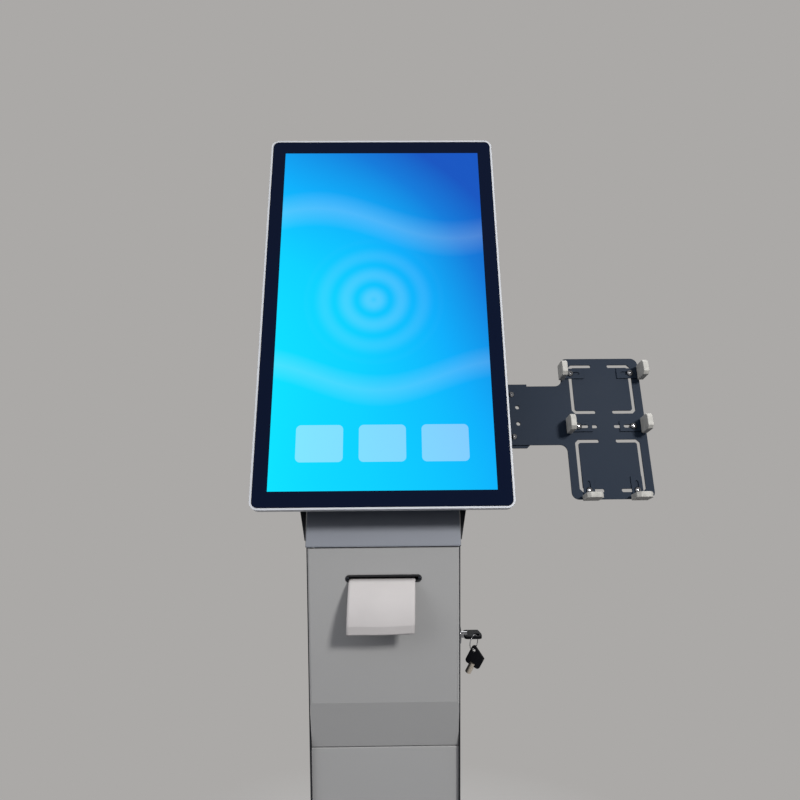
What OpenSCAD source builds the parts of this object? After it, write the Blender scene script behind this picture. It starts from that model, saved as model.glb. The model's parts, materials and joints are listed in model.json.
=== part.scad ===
// Floor-standing self-ordering kiosk: a sheet steel column with a slanted head,
// a tall touch display, a receipt printer behind a locked door and a clip-on terminal holder.
// Millimetres, +Z up, origin on the floor under the column's centre, front towards -Y.

/* [Base] */
// Side of the square base plate
base_w = 400; // [320:5:500]
// Thickness of the base plate
base_t = 10; // [6:1:16]
// Corner radius of the base plate
base_r = 30; // [10:1:60]
// Floor anchor holes, measured in from the plate's edges
anchor_in = 30; // [25:1:50]
// Diameter of the floor anchor holes
anchor_d = 12; // [8:0.5:14]
// Thickness of the column's foot bracket
foot_t = 3; // [2:0.5:5]
// Height of the foot bracket's side flanges
foot_flange_h = 60; // [30:1:90]

/* [Column] */
// Outer width across the two side plates
column_w = 187.8; // [184:0.2:206]
// Depth of the side plates
column_d = 140; // [136:1:170]
// Thickness of the sheet steel
sheet_t = 1.5; // [1.2:0.1:2]
// Height of the lower front panel's top edge above the floor
lower_top = 760; // [700:1:820]
// Set-back of the lower front panel behind the door's face
lower_setback = 15.4; // [12:0.2:20]
// Set-back of the side plates' front edges behind the door's face
side_back = 10; // [8:0.2:10]
// Width of the folded flanges on the panels
flange_w = 12; // [8:0.5:16]
// Depth of the flat land behind the slanted head
head_land = 10; // [6:0.5:20]
// Length of the slanted neck panel below the display mount
neck_len = 55; // [45:1:60]

/* [Door] */
// Height of the printer door
door_h = 256.8; // [240:0.2:280]
// Height of the door's slanted lower part
door_slant_h = 64.6; // [50:0.2:80]
// Gap above and below the door
door_gap = 2; // [1.5:0.1:4]
// Gap beside the door, to each side plate
door_side_gap = 0.65; // [0.5:0.05:1]
// Bend radius of the door's upright edges
door_edge_r = 3; // [2.5:0.1:4]
// Depth of the door's folded edges
door_depth = 14; // [10:0.5:16]
// Hinge axis, measured in from the door's left edge
hinge_in = 7; // [7:0.1:9]
// Hinge axis, measured back from the door's face
hinge_back = 5; // [4.6:0.1:5.2]
// Diameter of the hinge pins
hinge_pin_d = 4; // [3:0.1:4.4]

/* [Receipt slot] */
// Slot centre below the door's top edge
slot_drop = 36.9; // [30:0.1:50]
// Width of the slot bezel's lip
slot_w = 92.4; // [88:0.2:100]
// Height of the slot bezel's lip
slot_h = 9.2; // [8:0.1:12]
// Height of the slot's mouth
mouth_h = 4.4; // [3.5:0.1:5]
// Width of the receipt paper
paper_w = 80; // [76:0.5:82]
// Radius of the receipt's curl
curl_r = 76; // [60:1:100]

/* [Display] */
// Tilt of the display back from upright
tilt = 22.9; // [18:0.1:26]
// Display's lower edge above the door, along the slant
display_up = 36.8; // [34:0.2:44]
// Black border beside the lit picture area
border_side = 17.6; // [16:0.1:24]
// Black border above and below the lit picture area
border_end = 19; // [16:0.1:30]
// Thickness of the touch glass
glass_t = 3.2; // [2:0.1:4]
// Visible rim of the frame round the glass
frame_lip = 2.5; // [1.5:0.1:5]
// Depth of the frame
frame_t = 12; // [10:0.5:18]
// Corner radius of the frame
frame_r = 10; // [6:0.5:16]
// Set-in of the rear housing from the frame's edge
housing_inset = 20; // [16:0.5:24]
// Depth of the rear housing
housing_t = 38; // [30:0.5:46]
// Width of the lit picture area
screen_w = 267.8; // [255:0.1:270]
// Height of the lit picture area
screen_h = 476; // [450:0.5:480]
// Spacing of the display's mounting screws
vesa = 100; // [75:25:100]
// Centre of the mounting screws above the door, along the slant
vesa_up = 232; // [190:1:250]

/* [Terminal holder] */
// Width of the holder plate
holder_w = 103; // [96:0.5:116]
// Height of the holder plate
holder_h = 187; // [182:0.5:200]
// Thickness of the holder plate and its arm
plate_t = 2; // [1.5:0.1:3]
// Corner radius of the holder plate
holder_r = 9; // [5:0.5:14]
// Holder's centre outward from the display's edge
holder_out = 131; // [116:0.5:166]
// Holder's centre above the display's lower edge
holder_up = 111.1; // [95:0.1:250]
// Height of the holder's tongue
tongue_h = 79; // [70:0.5:84]
// Tongue's centre above the holder's centre
tongue_up = 15.8; // [0:0.2:30]
// Height of the arm behind the tongue
arm_h = 86; // [84:0.5:100]
// Outer end of the arm from the display's edge
arm_out = 34; // [26:0.5:46]
// Width of the adjusting slots
adjust_w = 4.2; // [3.6:0.1:5]
// Slots' outer legs from the holder's centre
adjust_out = 39.2; // [36:0.1:42]
// Slots' inner ends from the holder's centre
adjust_in = 12.9; // [8:0.1:18]
// Slots' near legs above and below the holder's centre
adjust_near = 19.3; // [16:0.1:24]
// Slots' far legs above and below the holder's centre
adjust_far = 82.7; // [76:0.1:84]

/* [Clips] */
// Width of a clip
clip_w = 14; // [12:0.5:16]
// Clip's length inward from its screw
clip_inner = 17.3; // [16:0.1:20]
// Clip's length outward from its screw, to the finger
clip_outer = 12.5; // [11:0.1:15]
// The same length on the two lower clips
clip_low_outer = 9.5; // [9:0.1:13]
// Travel of a clip on its screw
clip_travel = 10; // [6:0.5:11]
// Thickness of a clip
clip_t = 1.5; // [1:0.1:2]
// Height of a clip's finger
finger_h = 25; // [20:0.5:32]
// Thickness of the rubber sleeve
sleeve_t = 7; // [5.5:0.1:8]
// Width of the rubber sleeve
sleeve_w = 20; // [15:0.5:22]

/* [Lock and keys] */
// Lock axis above the door's lower edge
lock_up = 137; // [120:1:150]
// Lock axis behind the door's face
lock_back = 27; // [26:0.5:32]
// Diameter of the lock's body
lock_d = 18.8; // [16:0.2:20]
// Length of the lock's body behind its collar
lock_len = 20; // [18:0.5:24]
// Diameter of a key's tube
key_tube_d = 7.6; // [6.5:0.1:8.4]
// Length of a key's grip
key_head_l = 22; // [20:0.5:26]
// Width of a key's grip
key_head_w = 20; // [18:0.5:24]
// Thickness of a key's grip
key_head_t = 3.6; // [3:0.1:4]
// Mean radius of the key ring
ring_r = 9; // [8.6:0.1:9.6]
// Diameter of the ring's wire
wire_d = 1.4; // [1:0.1:1.6]

/* [Printer] */
// Diameter of the paper roll
roll_d = 76; // [50:1:80]
// Diameter of the roll's core
core_d = 17; // [12:0.5:25]
// Diameter of the platen roller
platen_d = 12; // [10:0.2:13]
// Diameter of the platen shaft
shaft_d = 5; // [4:0.1:6]
// Tooth module of the printer's gears
gear_module = 1; // [0.8:0.05:1.1]
// Face width of the gears
gear_w = 6; // [4:0.5:8]
// Travel of the cutter blade
cut_travel = 6; // [4:0.5:6]
// Diameter of the feed motor
motor_d = 35; // [28:0.5:36]

/* [Power] */
// Height of the power inlet above the floor
inlet_z = 215; // [200:1:320]
// Tilt of the rocker to either side
rocker_tilt = 8; // [5:0.5:10]

/* [Hidden] */

$fn = 64;
run_gap = 0.05;   // radial clearance of a turning fit
slide_gap = 0.1;  // clearance of a sliding or dropped-in fit
clear = 0.3;      // clearance between pieces that pass each other
over = 1;         // how far a cutter runs past the face it cuts

white = "#e6e8e8";
panel_grey = "#cfd2d2";
black_coat = "#23272d";
steel = "#b9bcc0";
nickel = "#cfd0d2";
rubber_grey = "#a3a39f";
plastic_black = "#17181a";
paper_white = "#f4f2ef";

// Column planes
half_w = column_w / 2;
inner_x = half_w - sheet_t;
front_y = -column_d / 2;
back_y = column_d / 2;
panel_y = front_y + lower_setback;
side_y = front_y + side_back;

// Door levels and hinge axis
door_z = lower_top + door_gap;
door_top = door_z + door_h;
bend_z = door_z + door_slant_h;
door_w = 2 * (inner_x - door_side_gap);
slot_z = door_top - slot_drop;
hinge_x = -door_w / 2 + hinge_in;
hinge_y = front_y + hinge_back;
lug_up = 9;
lug_z = bend_z + lug_up;
lug_t = 2;
ear_t = 3;
ear_z = lug_z - ear_t - clear;

// Slanted head: local x across, y up the slant, z out of the mounting plane
neck_z = door_top + door_gap;
display_t = frame_t + housing_t;
glass_w = screen_w + 2 * border_side;
glass_h = screen_h + 2 * border_end;
frame_w = glass_w + 2 * frame_lip;
frame_h = glass_h + 2 * frame_lip;
glass_gap = 0.2;
housing_low = display_up + housing_inset;
housing_high = display_up + frame_h - housing_inset;
housing_half_w = frame_w / 2 - housing_inset;
head_len = (column_d - head_land) / sin(tilt);
head_gap = 0.3;
head_t = 3;
neck_joint = 1;
wing_start = 8;
wing_top = neck_len + neck_joint + 3 * head_t;
wing_flare = 0.2;
head_top = head_point(head_len, -head_gap);

// Screws
m4_d = 4;
m4_hole_d = 4.4;
m4_head_d = 8;
m4_head_h = 2.4;

// Terminal holder in the head's local frame
holder_u = frame_w / 2 + holder_out;
holder_v = display_up + holder_up;
tongue_v = holder_v + tongue_up;
tongue_gap = 4;
tongue_start = frame_w / 2 + tongue_gap;
joint_screw_out = 12.8;
joint_screw_u = frame_w / 2 + joint_screw_out;
joint_screw_v = 28.4;
spare_hole_out = 6.7;
spare_hole_u = joint_screw_u + spare_hole_out;
spare_hole_v = 11;
spare_hole_d = 5.4;
arm_gap = 4;
arm_start = half_w + arm_gap;
arm_end = frame_w / 2 + arm_out;
arm_screw_in = 14;
arm_screw_u = arm_start + arm_screw_in;
arm_screw_v = 30;
clip_screw_d = adjust_w - 2 * clear;
clip_head_d = 8.4;
clip_mid_in = 35;
clip_low_in = 30;
clip_high = 10.4;

// Each clip: screw place from the holder's centre, turn of its outward direction, outward length
clip_places = [
    [-adjust_out, adjust_far - clip_high, 180, clip_outer],
    [adjust_out, adjust_far - clip_high, 0, clip_outer],
    [-clip_mid_in, 0, 180, clip_outer], [clip_mid_in, 0, 0, clip_outer],
    [-clip_low_in, -adjust_far, -90, clip_low_outer], [clip_low_in, -adjust_far, -90, clip_low_outer]];

// Lock and keys
lock_y = front_y + lock_back;
lock_z = door_z + lock_up;
collar_t = 2;
collar_lip = 1.6;
collar_d = lock_d + 2 * collar_lip;
plug_d = 12;
cam_t = 2.5;
cam_x = half_w - lock_len - clear - cam_t;
key_depth = 5;
key_start = half_w - key_depth;
key_root = 4;
grip_out = 6;
grip_x = half_w + grip_out;
grip_cut = [3, 12];
ring_turn = 230;
eye_d = 7;
eye_out = 15.5;
eye_side = 4.5;
eye_x = grip_x + eye_out;
eye_y = lock_y - eye_side;
ring_drop = 0.5;
ring_reach = 0.65 * ring_r;
ring_x = eye_x + ring_reach * cos(ring_turn);
ring_y = eye_y + ring_reach * sin(ring_turn);
ring_top = lock_z + key_head_t / 2 + ring_drop + wire_d / 2;
ring_z = ring_top - ring_r;
spare_lean = 26;
spare_twist = 16;
spare_eye_d = 4.8;
spare_eye_side = 6;
spare_eye_in = 6;
spare_head_l = 25;
spare_cut = [8.5, 17];
spare_tube_l = grip_x - key_start;

// Printer places, from the shelf and the slot
shelf_up = 28;
shelf_z = bend_z + shelf_up;
shelf_t = sheet_t;
frame_z = shelf_z + shelf_t;
frame_x = 49;
frame_plate = 2;
frame_in = frame_x - frame_plate;
paper_t = 0.3;
path_z = slot_z + 0.2;
platen_back = 46;
platen_y = front_y + platen_back;
platen_z = path_z - platen_d / 2 - paper_t / 2 - slide_gap;
roll_back = 36;
roll_drop = 72;
roll_y = platen_y + roll_back;
roll_z = platen_z - roll_drop;
cutter_back = 20;
cutter_y = front_y + cutter_back;
cutter_d = 12;
blade_t = 1;
blade_y = cutter_y + cutter_d / 2;
pinion_teeth = 18;
idler_teeth = 28;
platen_teeth = 20;
gear_line = 70;
gear_stand = 2;
gear_x = -frame_x - gear_stand - gear_w;
backlash = 0.16;
pressure = 20;
idler_off = gear_module * (platen_teeth + idler_teeth) / 2;
pinion_off = idler_off + gear_module * (idler_teeth + pinion_teeth) / 2;
idler_y = platen_y - idler_off * cos(gear_line);
idler_z = platen_z - idler_off * sin(gear_line);
pinion_y = platen_y - pinion_off * cos(gear_line);
pinion_z = platen_z - pinion_off * sin(gear_line);
motor_shaft_d = 3;
core_end_d = 12;

// A point on the slanted head, as [y, z]
function head_point(v, n) =
    [front_y + v * sin(tilt) - n * cos(tilt), neck_z + v * cos(tilt) + n * sin(tilt)];

// A block between two corners
module box(lo, hi) {
    translate(lo) cube(hi - lo);
}

// A flat outline in Y and Z, made thick from x0 to x1
module across(x0, x1) {
    translate([x0, 0, 0]) rotate([90, 0, 90]) linear_extrude(x1 - x0) children();
}

// A round bar along X
module x_bar(d, x0, x1, y, z) {
    translate([x0, y, z]) rotate([0, 90, 0]) cylinder(d = d, h = x1 - x0);
}

// A rectangle with round corners, about its centre
module rounded(w, h, r) {
    square([w - 2 * r, h], center = true);
    square([w, h - 2 * r], center = true);
    for (x = [-1, 1], y = [-1, 1]) translate([x * (w / 2 - r), y * (h / 2 - r)]) circle(r);
}

// A slot with round ends, w wide, between two points
module slot_between(a, b, w) {
    span = norm(b - a);
    turn = atan2(b.y - a.y, b.x - a.x);
    translate(a) rotate(turn) union() {
        translate([0, -w / 2]) square([span, w]);
        circle(d = w);
        translate([span, 0]) circle(d = w);
    }
}

// Places its children in the slanted head's frame
module on_head() {
    translate([0, front_y, neck_z]) rotate([90 - tilt, 0, 0]) children();
}

// Places its children at the display's centre, on the mounting plane
module on_display() {
    on_head() translate([0, display_up + frame_h / 2, 0]) children();
}

// Places its children at the holder's centre, on the holder's front face
module on_holder() {
    on_head() translate([holder_u, holder_v, plate_t]) children();
}

// Places its children at one clip's screw, with x pointing outward
module on_clip(i) {
    on_holder() translate([clip_places[i][0], clip_places[i][1], 0]) rotate(clip_places[i][2]) children();
}

// Four corners of a square pattern
module corners(spacing) {
    for (x = [-1, 1], y = [-1, 1]) translate([x * spacing / 2, y * spacing / 2, 0]) children();
}

// A screw along -Z: button head above the face, shank below it
module button_screw(d, head_d, head_h, len) {
    rotate_extrude() union() {
        intersection() {
            translate([0, head_h - head_d * 0.66]) circle(d = head_d * 1.32);
            square([head_d / 2, head_h]);
        }
        translate([0, -len]) square([d / 2, len + head_h / 2]);
    }
}

// Base plate with floor anchor holes
anchor_spacing = base_w - 2 * anchor_in;
foot_bolt_d = 8;
foot_bolt_x = 60;
foot_bolt_y = 35;
bolt_play = 1;
foot_low_y = panel_y + sheet_t + flange_w + bolt_play;
foot_high_y = back_y - sheet_t - flange_w - bolt_play;

module foot_bolt_places() {
    for (x = [-1, 1], y = [-1, 1]) translate([x * foot_bolt_x, y * foot_bolt_y, 0]) children();
}

module base_plate() {
    color(panel_grey) difference() {
        linear_extrude(base_t) rounded(base_w, base_w, base_r);
        translate([0, 0, -over]) corners(anchor_spacing) cylinder(d = anchor_d, h = base_t + 2 * over);
        translate([0, 0, base_t / 2]) foot_bolt_places() cylinder(d = foot_bolt_d, h = base_t);
    }
}

// Foot bracket that bolts the side plates to the base
module column_foot() {
    foot_top = base_t + foot_t;
    color(black_coat) difference() {
        union() {
            box([-inner_x, foot_low_y, base_t], [inner_x, foot_high_y, foot_top]);
            for (x = [-inner_x, inner_x - foot_t]) across(x, x + foot_t)
                polygon([[foot_low_y, base_t], [foot_high_y, base_t],
                    [foot_high_y - flange_w, base_t + foot_flange_h],
                    [foot_low_y + flange_w, base_t + foot_flange_h]]);
        }
        translate([0, 0, base_t - over]) foot_bolt_places()
            cylinder(d = foot_bolt_d + bolt_play, h = foot_t + 2 * over);
    }
}

module base_bolts() {
    hex_d = foot_bolt_d * 1.85;
    hex_h = foot_bolt_d * 0.65;
    color(steel) foot_bolt_places() {
        translate([0, 0, base_t + foot_t]) cylinder(d = hex_d, h = hex_h, $fn = 6);
        translate([0, 0, base_t / 2 + slide_gap])
            cylinder(d = foot_bolt_d - 2 * slide_gap, h = base_t / 2 + foot_t);
    }
}

// Side plates: upright front edge behind the door's face, then a slanted head edge with seats for the
// neck panel and the head plate's wings
module side_outline() {
    neck_n = -sheet_t - head_gap;
    wing_n = -head_t - head_gap;
    neck_v = neck_len + neck_joint / 2;
    wing_v = wing_top + head_gap;
    neck_seat = head_point(0, neck_n);
    polygon([[side_y, base_t], [side_y, neck_seat.y], neck_seat, head_point(neck_v, neck_n),
        head_point(neck_v, wing_n), head_point(wing_v, wing_n), head_point(wing_v, -head_gap),
        head_top, [back_y, head_top.y], [back_y, base_t]]);
}

module side_plate_left() {
    color(black_coat) across(-half_w, -inner_x) side_outline();
}

module side_plate_right() {
    color(black_coat) difference() {
        across(inner_x, half_w) side_outline();
        x_bar(lock_d + 2 * slide_gap, inner_x - over, half_w + over, lock_y, lock_z);
    }
}

// Rear cover with folded edges, vents and the power inlet's window
vent_w = 50;
vent_h = 5;
vent_pitch = 12;
vent_rows = 8;
inlet_body_w = 52;
inlet_body_h = 26;
inlet_x = -1;

module vent_group(z) {
    for (i = [0 : vent_rows - 1], x = [-vent_w * 0.6, vent_w * 0.6])
        translate([x, back_y + over, z + i * vent_pitch]) rotate([90, 0, 0])
            linear_extrude(sheet_t + 2 * over) slot_between([-vent_w / 2, 0], [vent_w / 2, 0], vent_h);
}

module rear_cover() {
    low = base_t;
    high = head_top.y;
    sheet_y = back_y - sheet_t;
    color(panel_grey) difference() {
        union() {
            box([-inner_x, sheet_y, low], [inner_x, back_y, high]);
            box([-inner_x, head_top.x + clear, high - sheet_t], [inner_x, back_y, high]);
            for (x = [-inner_x, inner_x - sheet_t])
                box([x, sheet_y - flange_w, low + foot_flange_h], [x + sheet_t, back_y, neck_z]);
        }
        vent_group(lower_top);
        vent_group(inlet_z + 4 * vent_pitch);
        translate([inlet_x, back_y + over, inlet_z]) rotate([90, 0, 0]) linear_extrude(sheet_t + 2 * over)
            square([inlet_body_w + 2 * slide_gap, inlet_body_h + 2 * slide_gap], center = true);
    }
}

// Lower front panel, set back behind the door, with a folded top edge
module lower_panel() {
    color(white) {
        box([-inner_x, panel_y, base_t], [inner_x, panel_y + sheet_t, lower_top]);
        box([-inner_x, panel_y, lower_top - sheet_t], [inner_x, panel_y + 2 * flange_w, lower_top]);
        for (x = [-inner_x, inner_x - sheet_t])
            box([x, panel_y, base_t], [x + sheet_t, panel_y + flange_w, lower_top]);
    }
}

// Slanted neck panel with rounded edges, over the side plates; its folded lower edge between them
// holds the door's upper hinge pin
module neck_panel() {
    fold = 30;
    lap = 0.2;
    start = sheet_t * tan(tilt) + lap;
    turn = 15;
    color(white) difference() {
        union() {
            on_head() translate([0, neck_len, 0]) rotate([90, 0, 0]) linear_extrude(neck_len - start)
                polygon(concat(
                    [for (a = [0 : turn : 90]) [inner_x + sheet_t * sin(a), sheet_t * (cos(a) - 1)]],
                    [for (a = [90 : -turn : 0]) [-inner_x - sheet_t * sin(a), sheet_t * (cos(a) - 1)]]));
            box([-inner_x, front_y, neck_z], [inner_x, front_y + fold, neck_z + sheet_t]);
        }
        translate([hinge_x, hinge_y, neck_z - over])
            cylinder(d = hinge_pin_d + 2 * run_gap, h = sheet_t + 2 * over);
    }
}

// Head plate that carries the display between the side plates. Its wings reach past them and taper
// down beside the neck panel
module head_plate() {
    edge = 18;
    low = neck_len + neck_joint;
    high = head_len - 2 * sheet_t;
    wing_u = half_w + head_gap;
    tip = 0.8;
    color(black_coat) on_head() difference() {
        union() {
            box([-inner_x, low, -head_t], [inner_x, high, 0]);
            translate([0, 0, -head_t]) linear_extrude(head_t) for (side = [-1, 1])
                polygon([[side * (inner_x - head_t), low], [side * wing_u, low], [side * wing_u, wing_start],
                    [side * (wing_u + tip), wing_start],
                    [side * (wing_u + wing_flare * (wing_top - wing_start)), wing_top],
                    [side * (inner_x - head_t), wing_top]]);
            for (x = [-inner_x, inner_x - head_t])
                box([x, low, -edge], [x + head_t, high - edge * 2, 0]);
        }
        translate([0, vesa_up, -head_t - over]) corners(vesa)
            cylinder(d = m4_hole_d, h = head_t + 2 * over);
    }
}

// Shelf under the printer, with folded sides
module printer_shelf() {
    set_in = 22;
    low_y = front_y + set_in;
    high_y = back_y - sheet_t - flange_w - clear;
    drop = 20;
    color(steel) {
        box([-inner_x, low_y, shelf_z], [inner_x, high_y, shelf_z + shelf_t]);
        for (x = [-inner_x, inner_x - shelf_t])
            box([x, low_y + 2 * drop, shelf_z - drop], [x + shelf_t, high_y - flange_w, shelf_z + shelf_t]);
    }
}

// Lower hinge bracket: its ear reaches forward behind the door, clear of the swing
module hinge_bracket() {
    ear_r = hinge_back - sheet_t - clear;
    neck_half = ear_r - 0.4;
    lean = 20;
    reach = 19;
    back = 12;
    depth = 18;
    rise = 12;
    wall_x = -inner_x;
    color(steel) difference() {
        union() {
            translate([hinge_x, hinge_y, ear_z]) linear_extrude(ear_t) union() {
                circle(ear_r);
                rotate(-lean) translate([-neck_half, 0]) square([2 * neck_half, reach]);
            }
            box([wall_x, hinge_y + back, ear_z],
                [hinge_x + reach * sin(lean) + ear_r, hinge_y + reach, ear_z + ear_t]);
            box([wall_x, hinge_y + back, ear_z - rise],
                [wall_x + lug_t, hinge_y + back + depth, ear_z + rise]);
        }
        translate([hinge_x, hinge_y, ear_z - over])
            cylinder(d = hinge_pin_d + 2 * run_gap, h = ear_t + 2 * over);
    }
}

// Door outline from the side: upright face, slanted foot
module door_outline(inset) {
    cut = inset * tan(atan2(lower_setback, door_slant_h) / 2);
    polygon([[front_y + inset, door_top - inset], [front_y + inset, bend_z - cut],
        [front_y + lower_setback + inset, door_z + inset],
        [front_y + lower_setback + door_depth + 2 * inset, door_z + inset],
        [front_y + lower_setback + door_depth + 2 * inset, door_top - inset]]);
}

// Door plan with round front edges
module door_plan(w, r) {
    depth = lower_setback + 2 * door_depth;
    translate([-w / 2 + r, 0]) square([w - 2 * r, depth]);
    translate([-w / 2, r]) square([w, depth - r]);
    for (x = [-1, 1]) translate([x * (w / 2 - r), r]) circle(r);
}

module door_block(inset) {
    intersection() {
        across(-door_w / 2 + inset, door_w / 2 - inset) door_outline(inset);
        translate([0, front_y + inset, door_z - over]) linear_extrude(door_h + 2 * over)
            door_plan(door_w - 2 * inset, door_edge_r - inset);
    }
}

paper_play = 2;
mouth_w = paper_w + 2 * paper_play;
bezel_wall = 1.2;
sleeve_h = mouth_h + 2 * bezel_wall;
sleeve_long = mouth_w + 2 * bezel_wall;
half_sleeve = (sleeve_long - sleeve_h) / 2;
left_fold = hinge_back - 1.75;
// The right fold ends where its corner still swings past the side plate, with half the gap to spare
swing_r = door_w / 2 - hinge_x;
right_fold_y = hinge_y + sqrt(pow(swing_r + door_side_gap / 2, 2) - pow(swing_r, 2));

// Folded door skin with a hinge lug and the keeper that the lock's cam holds
module printer_door() {
    lug_w = 14;
    keeper_x = cam_x - 10;
    keeper_l = 16.5;
    keeper_w = 2;
    keeper_z = lock_z + lock_d / 2 + 4;
    keeper_h = 14;
    lip_y = lock_y + 7;
    inside_y = front_y + sheet_t;
    fold_z = lug_z + lug_t + 3;
    color(white) difference() {
        union() {
            difference() {
                door_block(0);
                door_block(sheet_t);
                box([-half_w, front_y + door_depth, bend_z], [half_w, back_y, door_top - sheet_t]);
                across(-half_w, -door_w / 2 + sheet_t + slide_gap) union() {
                    intersection() {
                        translate([left_fold, 0]) door_outline(0);
                        translate([front_y, 0]) square([column_d, fold_z]);
                    }
                    translate([side_y - clear, fold_z]) square([column_d, door_top - fold_z + over]);
                }
                box([door_w / 2 - sheet_t - slide_gap, right_fold_y, door_z - over],
                    [half_w, back_y, door_top + over]);
            }
            box([hinge_x - hinge_in / 2, inside_y - sheet_t / 2, lug_z],
                [hinge_x + lug_w, hinge_y + hinge_back, lug_z + lug_t]);
            box([keeper_x, inside_y - sheet_t / 2, keeper_z],
                [keeper_x + keeper_w, lip_y + keeper_w, keeper_z + keeper_h]);
            box([keeper_x, lip_y, keeper_z],
                [keeper_x + keeper_l, lip_y + keeper_w, keeper_z + keeper_h]);
        }
        translate([0, front_y + 2 * sheet_t, slot_z]) rotate([90, 0, 0]) linear_extrude(3 * sheet_t)
            slot_between([-half_sleeve, 0], [half_sleeve, 0], sleeve_h + 2 * slide_gap);
        translate([hinge_x, hinge_y, lug_z - over]) cylinder(d = hinge_pin_d, h = lug_t + 2 * over);
        translate([hinge_x, hinge_y, door_top - sheet_t - over])
            cylinder(d = hinge_pin_d, h = sheet_t + 2 * over);
    }
}

// Two steel pins held by the door, in the neck's fold and in the lower bracket
module hinge_pins() {
    collar = 1.2;
    tip = 1;
    color(steel) translate([hinge_x, hinge_y, 0]) {
        translate([0, 0, door_top - sheet_t]) cylinder(d = hinge_pin_d, h = 2 * sheet_t + door_gap + tip);
        translate([0, 0, door_top - sheet_t - collar]) cylinder(d = hinge_pin_d + 2, h = collar);
        translate([0, 0, ear_z - tip]) cylinder(d = hinge_pin_d, h = lug_z + lug_t - ear_z + tip);
        translate([0, 0, lug_z + lug_t]) cylinder(d = hinge_pin_d + 2, h = collar);
    }
}

// Black slot bezel: a lip on the door's face and a sleeve through it
module slot_bezel() {
    lip_t = 0.8;
    sleeve_d = 12;
    half_lip = (slot_w - slot_h) / 2;
    color(plastic_black) translate([0, front_y, slot_z]) rotate([90, 0, 0]) difference() {
        union() {
            linear_extrude(lip_t) slot_between([-half_lip, 0], [half_lip, 0], slot_h);
            translate([0, 0, -sleeve_d]) linear_extrude(sleeve_d)
                slot_between([-half_sleeve, 0], [half_sleeve, 0], sleeve_h);
        }
        translate([-mouth_w / 2, -mouth_h / 2, -sleeve_d - over])
            cube([mouth_w, mouth_h, sleeve_d + lip_t + 2 * over]);
    }
}

// Points [y, z, slope] round an arc; the slope runs from level towards the front
function paper_arc(centre, r, from, to, steps) =
    [for (i = [0 : steps]) let (a = from + (to - from) * i / steps)
        [centre.x - r * sin(a), centre.y + r * cos(a), a]];

// A strip of paper along such points
module paper_strip(path) {
    function edge(p, side) = [p.x, p.y] + side * paper_t / 2 * [-sin(p.z), cos(p.z)];
    last = len(path) - 1;
    across(-paper_w / 2, paper_w / 2) polygon(concat(
        [for (p = path) edge(p, 1)],
        [for (i = [last : -1 : 0]) edge(path[i], -1)]));
}

// Printed receipt resting in the slot and curling down in front of the door
module receipt_slip() {
    rest_z = slot_z - mouth_h / 2 + slide_gap + paper_t / 2;
    lip_y = front_y - 1;
    tuck = 12;
    bend_r = 8;
    bend = 40;
    hang = 88;
    bend_steps = 12;
    curl_steps = 24;
    first = (hang - bend) / curl_steps;
    curl_y = lip_y + (curl_r - bend_r) * sin(bend);
    curl_z = rest_z - bend_r - (curl_r - bend_r) * cos(bend);
    color(paper_white) paper_strip(concat(
        [[lip_y + tuck, rest_z, 0]],
        paper_arc([lip_y, rest_z - bend_r], bend_r, 0, bend, bend_steps),
        paper_arc([curl_y, curl_z], curl_r, bend + first, hang, curl_steps - 1)));
}

// Printer frame: two side plates, a floor, a tie bar and the idler's stud
core_seat = core_end_d + 2 * clear;

module printer_frame() {
    low_y = cutter_y;
    high_y = roll_y + roll_d / 2 + 6;
    rise = 18;
    tower = 18;
    top_z = slot_z + rise;
    tower_y = platen_y + tower;
    wall_z = roll_z + core_seat / 2 + 14;
    ramp = 10;
    tie_d = 6;
    tie_in = 4;
    stud_end = gear_x - 1;
    color(steel) difference() {
        union() {
            for (x = [-frame_x, frame_in])
                across(x, x + frame_plate)
                    polygon([[low_y, frame_z], [high_y, frame_z], [high_y, wall_z], [tower_y + ramp, wall_z],
                        [tower_y, wall_z + ramp], [tower_y, top_z], [low_y, top_z]]);
            box([-frame_x, low_y, frame_z], [frame_x, high_y, frame_z + frame_plate]);
            x_bar(tie_d, -frame_in, frame_in, tower_y - tie_in, top_z - tie_in);
            x_bar(m4_d, stud_end, -frame_x, idler_y, idler_z);
        }
        x_bar(shaft_d + 2 * run_gap, -frame_x - over, frame_x + over, platen_y, platen_z);
        x_bar(core_seat, -frame_x - over, frame_x + over, roll_y, roll_z);
        box([-frame_x - over, roll_y - core_seat / 2, roll_z],
            [frame_x + over, roll_y + core_seat / 2, wall_z + over]);
        x_bar(motor_d / 3, -frame_x - over, -frame_in + over, pinion_y, pinion_z);
    }
}

// Thermal head with cooling fins, above the platen
module print_head() {
    low_y = platen_y - 10;
    deep = 20;
    low_z = path_z + paper_t + clear;
    bar_h = 6;
    fin_h = 8;
    fin_t = 2;
    fin_pitch = 4.5;
    color("#8f9296") {
        box([-frame_in, low_y, low_z], [frame_in, low_y + deep, low_z + bar_h]);
        for (y = [low_y : fin_pitch : low_y + deep - fin_t])
            box([-paper_w / 2, y, low_z + bar_h], [paper_w / 2, y + fin_t, low_z + bar_h + fin_h]);
    }
}

// Feed motor can, screwed to the inside of the left frame plate
module feed_motor() {
    face_x = -frame_in;
    can_l = 25;
    boss_l = 4;
    boss_d = 10;
    color("#6f7377") difference() {
        union() {
            x_bar(motor_d, face_x, face_x + can_l, pinion_y, pinion_z);
            x_bar(boss_d, face_x + can_l, face_x + can_l + boss_l, pinion_y, pinion_z);
        }
        x_bar(motor_shaft_d + 2 * run_gap, face_x - over, face_x + can_l, pinion_y, pinion_z);
    }
}

// Cutter housing with the paper slit and the blade's pocket
blade_w = paper_w + 2 * paper_play;
blade_h = 12;

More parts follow.
